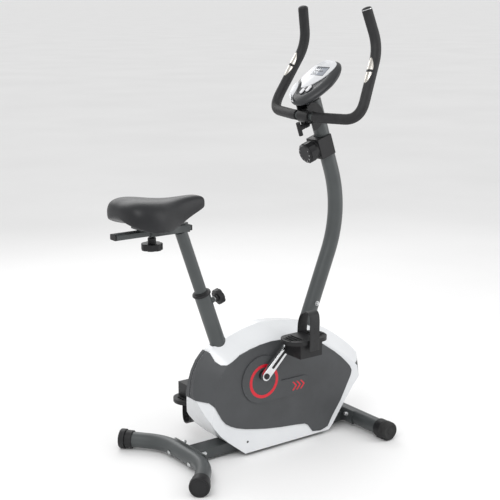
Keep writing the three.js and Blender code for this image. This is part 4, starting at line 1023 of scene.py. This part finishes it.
shell = bmesh.new()
rings = [
    egg(shell, inset / 1000, depth / 1000)
    for inset, depth in [
        (46, -30), (28, -29.4), (14, -26.8), (6, -22.5), (1.6, -17.5), (0, -13), (2, -9), (7, -5.2),
        (14, -2.2), (21, -0.6), (27, 0), (31, -0.1), (33, -1.6), (44, -1.6),
    ]
]
for before, after in zip(rings, rings[1:]):
    bmesh.ops.bridge_loops(shell, edges=before + after)
bmesh.ops.holes_fill(shell, edges=rings[0])
bmesh.ops.holes_fill(shell, edges=rings[-1])
bmesh.ops.recalc_face_normals(shell, faces=shell.faces)
bmesh.ops.transform(shell, matrix=console_basis, verts=shell.verts)
shell_mesh = to_mesh(shell, "console_housing")
shade_round(shell_mesh, 50)
new_piece("console_housing", shell_mesh, console_dark, "frame", ["console_body"])
round_tube(
    "console_neck", [post_top - post_up * 0.02, post_top + post_up * 0.045], 0.0212, cap_plastic, "frame"
)


def console_plate(name, outline, low, high, rounding, material, body, replaced=()):
    """A flat moulding on the console: an outline across and up its face, with rounded edges."""
    work = bmesh.new()
    face = work.faces.new([work.verts.new((u / 1000, v / 1000, low / 1000)) for u, v in outline])
    raised = bmesh.ops.extrude_face_region(work, geom=[face])
    verts = [item for item in raised["geom"] if isinstance(item, bmesh.types.BMVert)]
    bmesh.ops.translate(work, vec=(0, 0, (high - low) / 1000), verts=verts)
    bmesh.ops.recalc_face_normals(work, faces=work.faces)
    top = [e for e in work.edges if all(v.co.z > high / 1000 - 1e-6 for v in e.verts)]
    bmesh.ops.bevel(
        work, geom=top, offset=rounding / 1000, segments=3, profile=0.5, material=-1, affect="EDGES"
    )
    bmesh.ops.transform(work, matrix=console_basis, verts=work.verts)
    mesh = to_mesh(work, name)
    shade_round(mesh, 40)
    return new_piece(name, mesh, material, body, replaced)


def smooth_outline(corners, steps=6):
    """A closed outline that passes smoothly through its corners."""
    count = len(corners)
    points = []
    for i in range(count):
        a, b, c, d = (Vector(corners[(i + k) % count]) for k in (-1, 0, 1, 2))
        for step in range(steps):
            t = step / steps
            second = 2 * a - 5 * b + 4 * c - d
            third = 3 * b - a - 3 * c + d
            points.append(0.5 * (2 * b + (c - a) * t + second * t**2 + third * t**3))
    return points


face_corners = [
    (-57, -9), (-43, -19), (-32, -31), (-25, -40), (-8, -37), (8, -27), (23, -9), (35, 8), (44, 30),
    (47, 50), (43, 68), (33, 81), (18, 88), (0, 90), (-22, 86), (-42, 71), (-55, 48), (-61, 22), (-62, 4),
]
console_plate(
    "console_white_face", smooth_outline(face_corners), -8, 1.2, 0.8, face_white, "frame",
    ["console_face"],
)
lip_corners = [
    (-66, -16), (-50, -29), (-40, -44), (-34, -62), (-31, -80), (-20, -92), (-12, -99), (-30, -94),
    (-48, -80), (-62, -60), (-71, -38),
]
console_plate(
    "console_white_lip", smooth_outline(lip_corners), -12, 0.6, 3, face_white, "frame",
)
# Painted shade: a dark frame round the window stands in for the shade in its inset recess.
console_plate(
    "window_recess_shade", [(-33, 17), (27, 17), (27, 57), (-33, 57)], 1.1, 1.6, 0.3, console_dark, "frame",
)
console_plate(
    "display_window", [(-30, 18), (26, 18), (26, 53), (-30, 53)], 1.5, 2.0, 0.3, crystal, "frame",
    ["console_screen"],
)
for line, (strokes, v) in enumerate([(3, 47), (5, 36), (2, 25)]):
    for stroke in range(strokes):
        u = -26 + 8 * stroke
        segment = [(u, v - 3), (u + 4.6, v - 3), (u + 4.6, v + 3), (u, v + 3)]
        console_plate(
            f"display_segment_{line + 1}_{stroke + 1}", segment, 2.0, 2.06, 0.02, cap_plastic, "frame",
        )
PILL_RADIUS = 6.6
PILL_HALF_RUN = 7
for name, u, v in (("mode", -4, -53), ("reset", 15, -42)):
    pill = []
    for degrees in range(0, 360, 15):
        sideways = math.cos(math.radians(degrees))
        upwards = math.sin(math.radians(degrees))
        end = v + math.copysign(PILL_HALF_RUN, upwards or 1)
        pill.append((u + PILL_RADIUS * sideways, end + PILL_RADIUS * upwards))
    console_plate(
        f"button_{name}_cap", pill, -0.2, 2.6, 1.2, button_white, f"button_{name}",
        [f"button_{name}"],
    )
    rim = bmesh.new()
    edges = []
    for width, height in ((1.06, -1.7), (1.06, 0.2), (1.16, 0.2), (1.2, -1.7)):
        length = width * 0.5 + 0.5
        ring = [
            rim.verts.new(((u + width * (p - u)) / 1000, (v + length * (q - v)) / 1000, height / 1000))
            for p, q in pill
        ]
        edges.append([rim.edges.new(pair) for pair in zip(ring, ring[1:] + ring[:1])])
    for before, after in zip(edges, edges[1:] + edges[:1]):
        bmesh.ops.bridge_loops(rim, edges=before + after)
    bmesh.ops.recalc_face_normals(rim, faces=rim.faces)
    bmesh.ops.transform(rim, matrix=console_basis, verts=rim.verts)
    rim_mesh = to_mesh(rim, f"button_{name}_rim")
    shade_round(rim_mesh, 40)
    new_piece(rim_mesh.name, rim_mesh, cap_plastic, "frame")
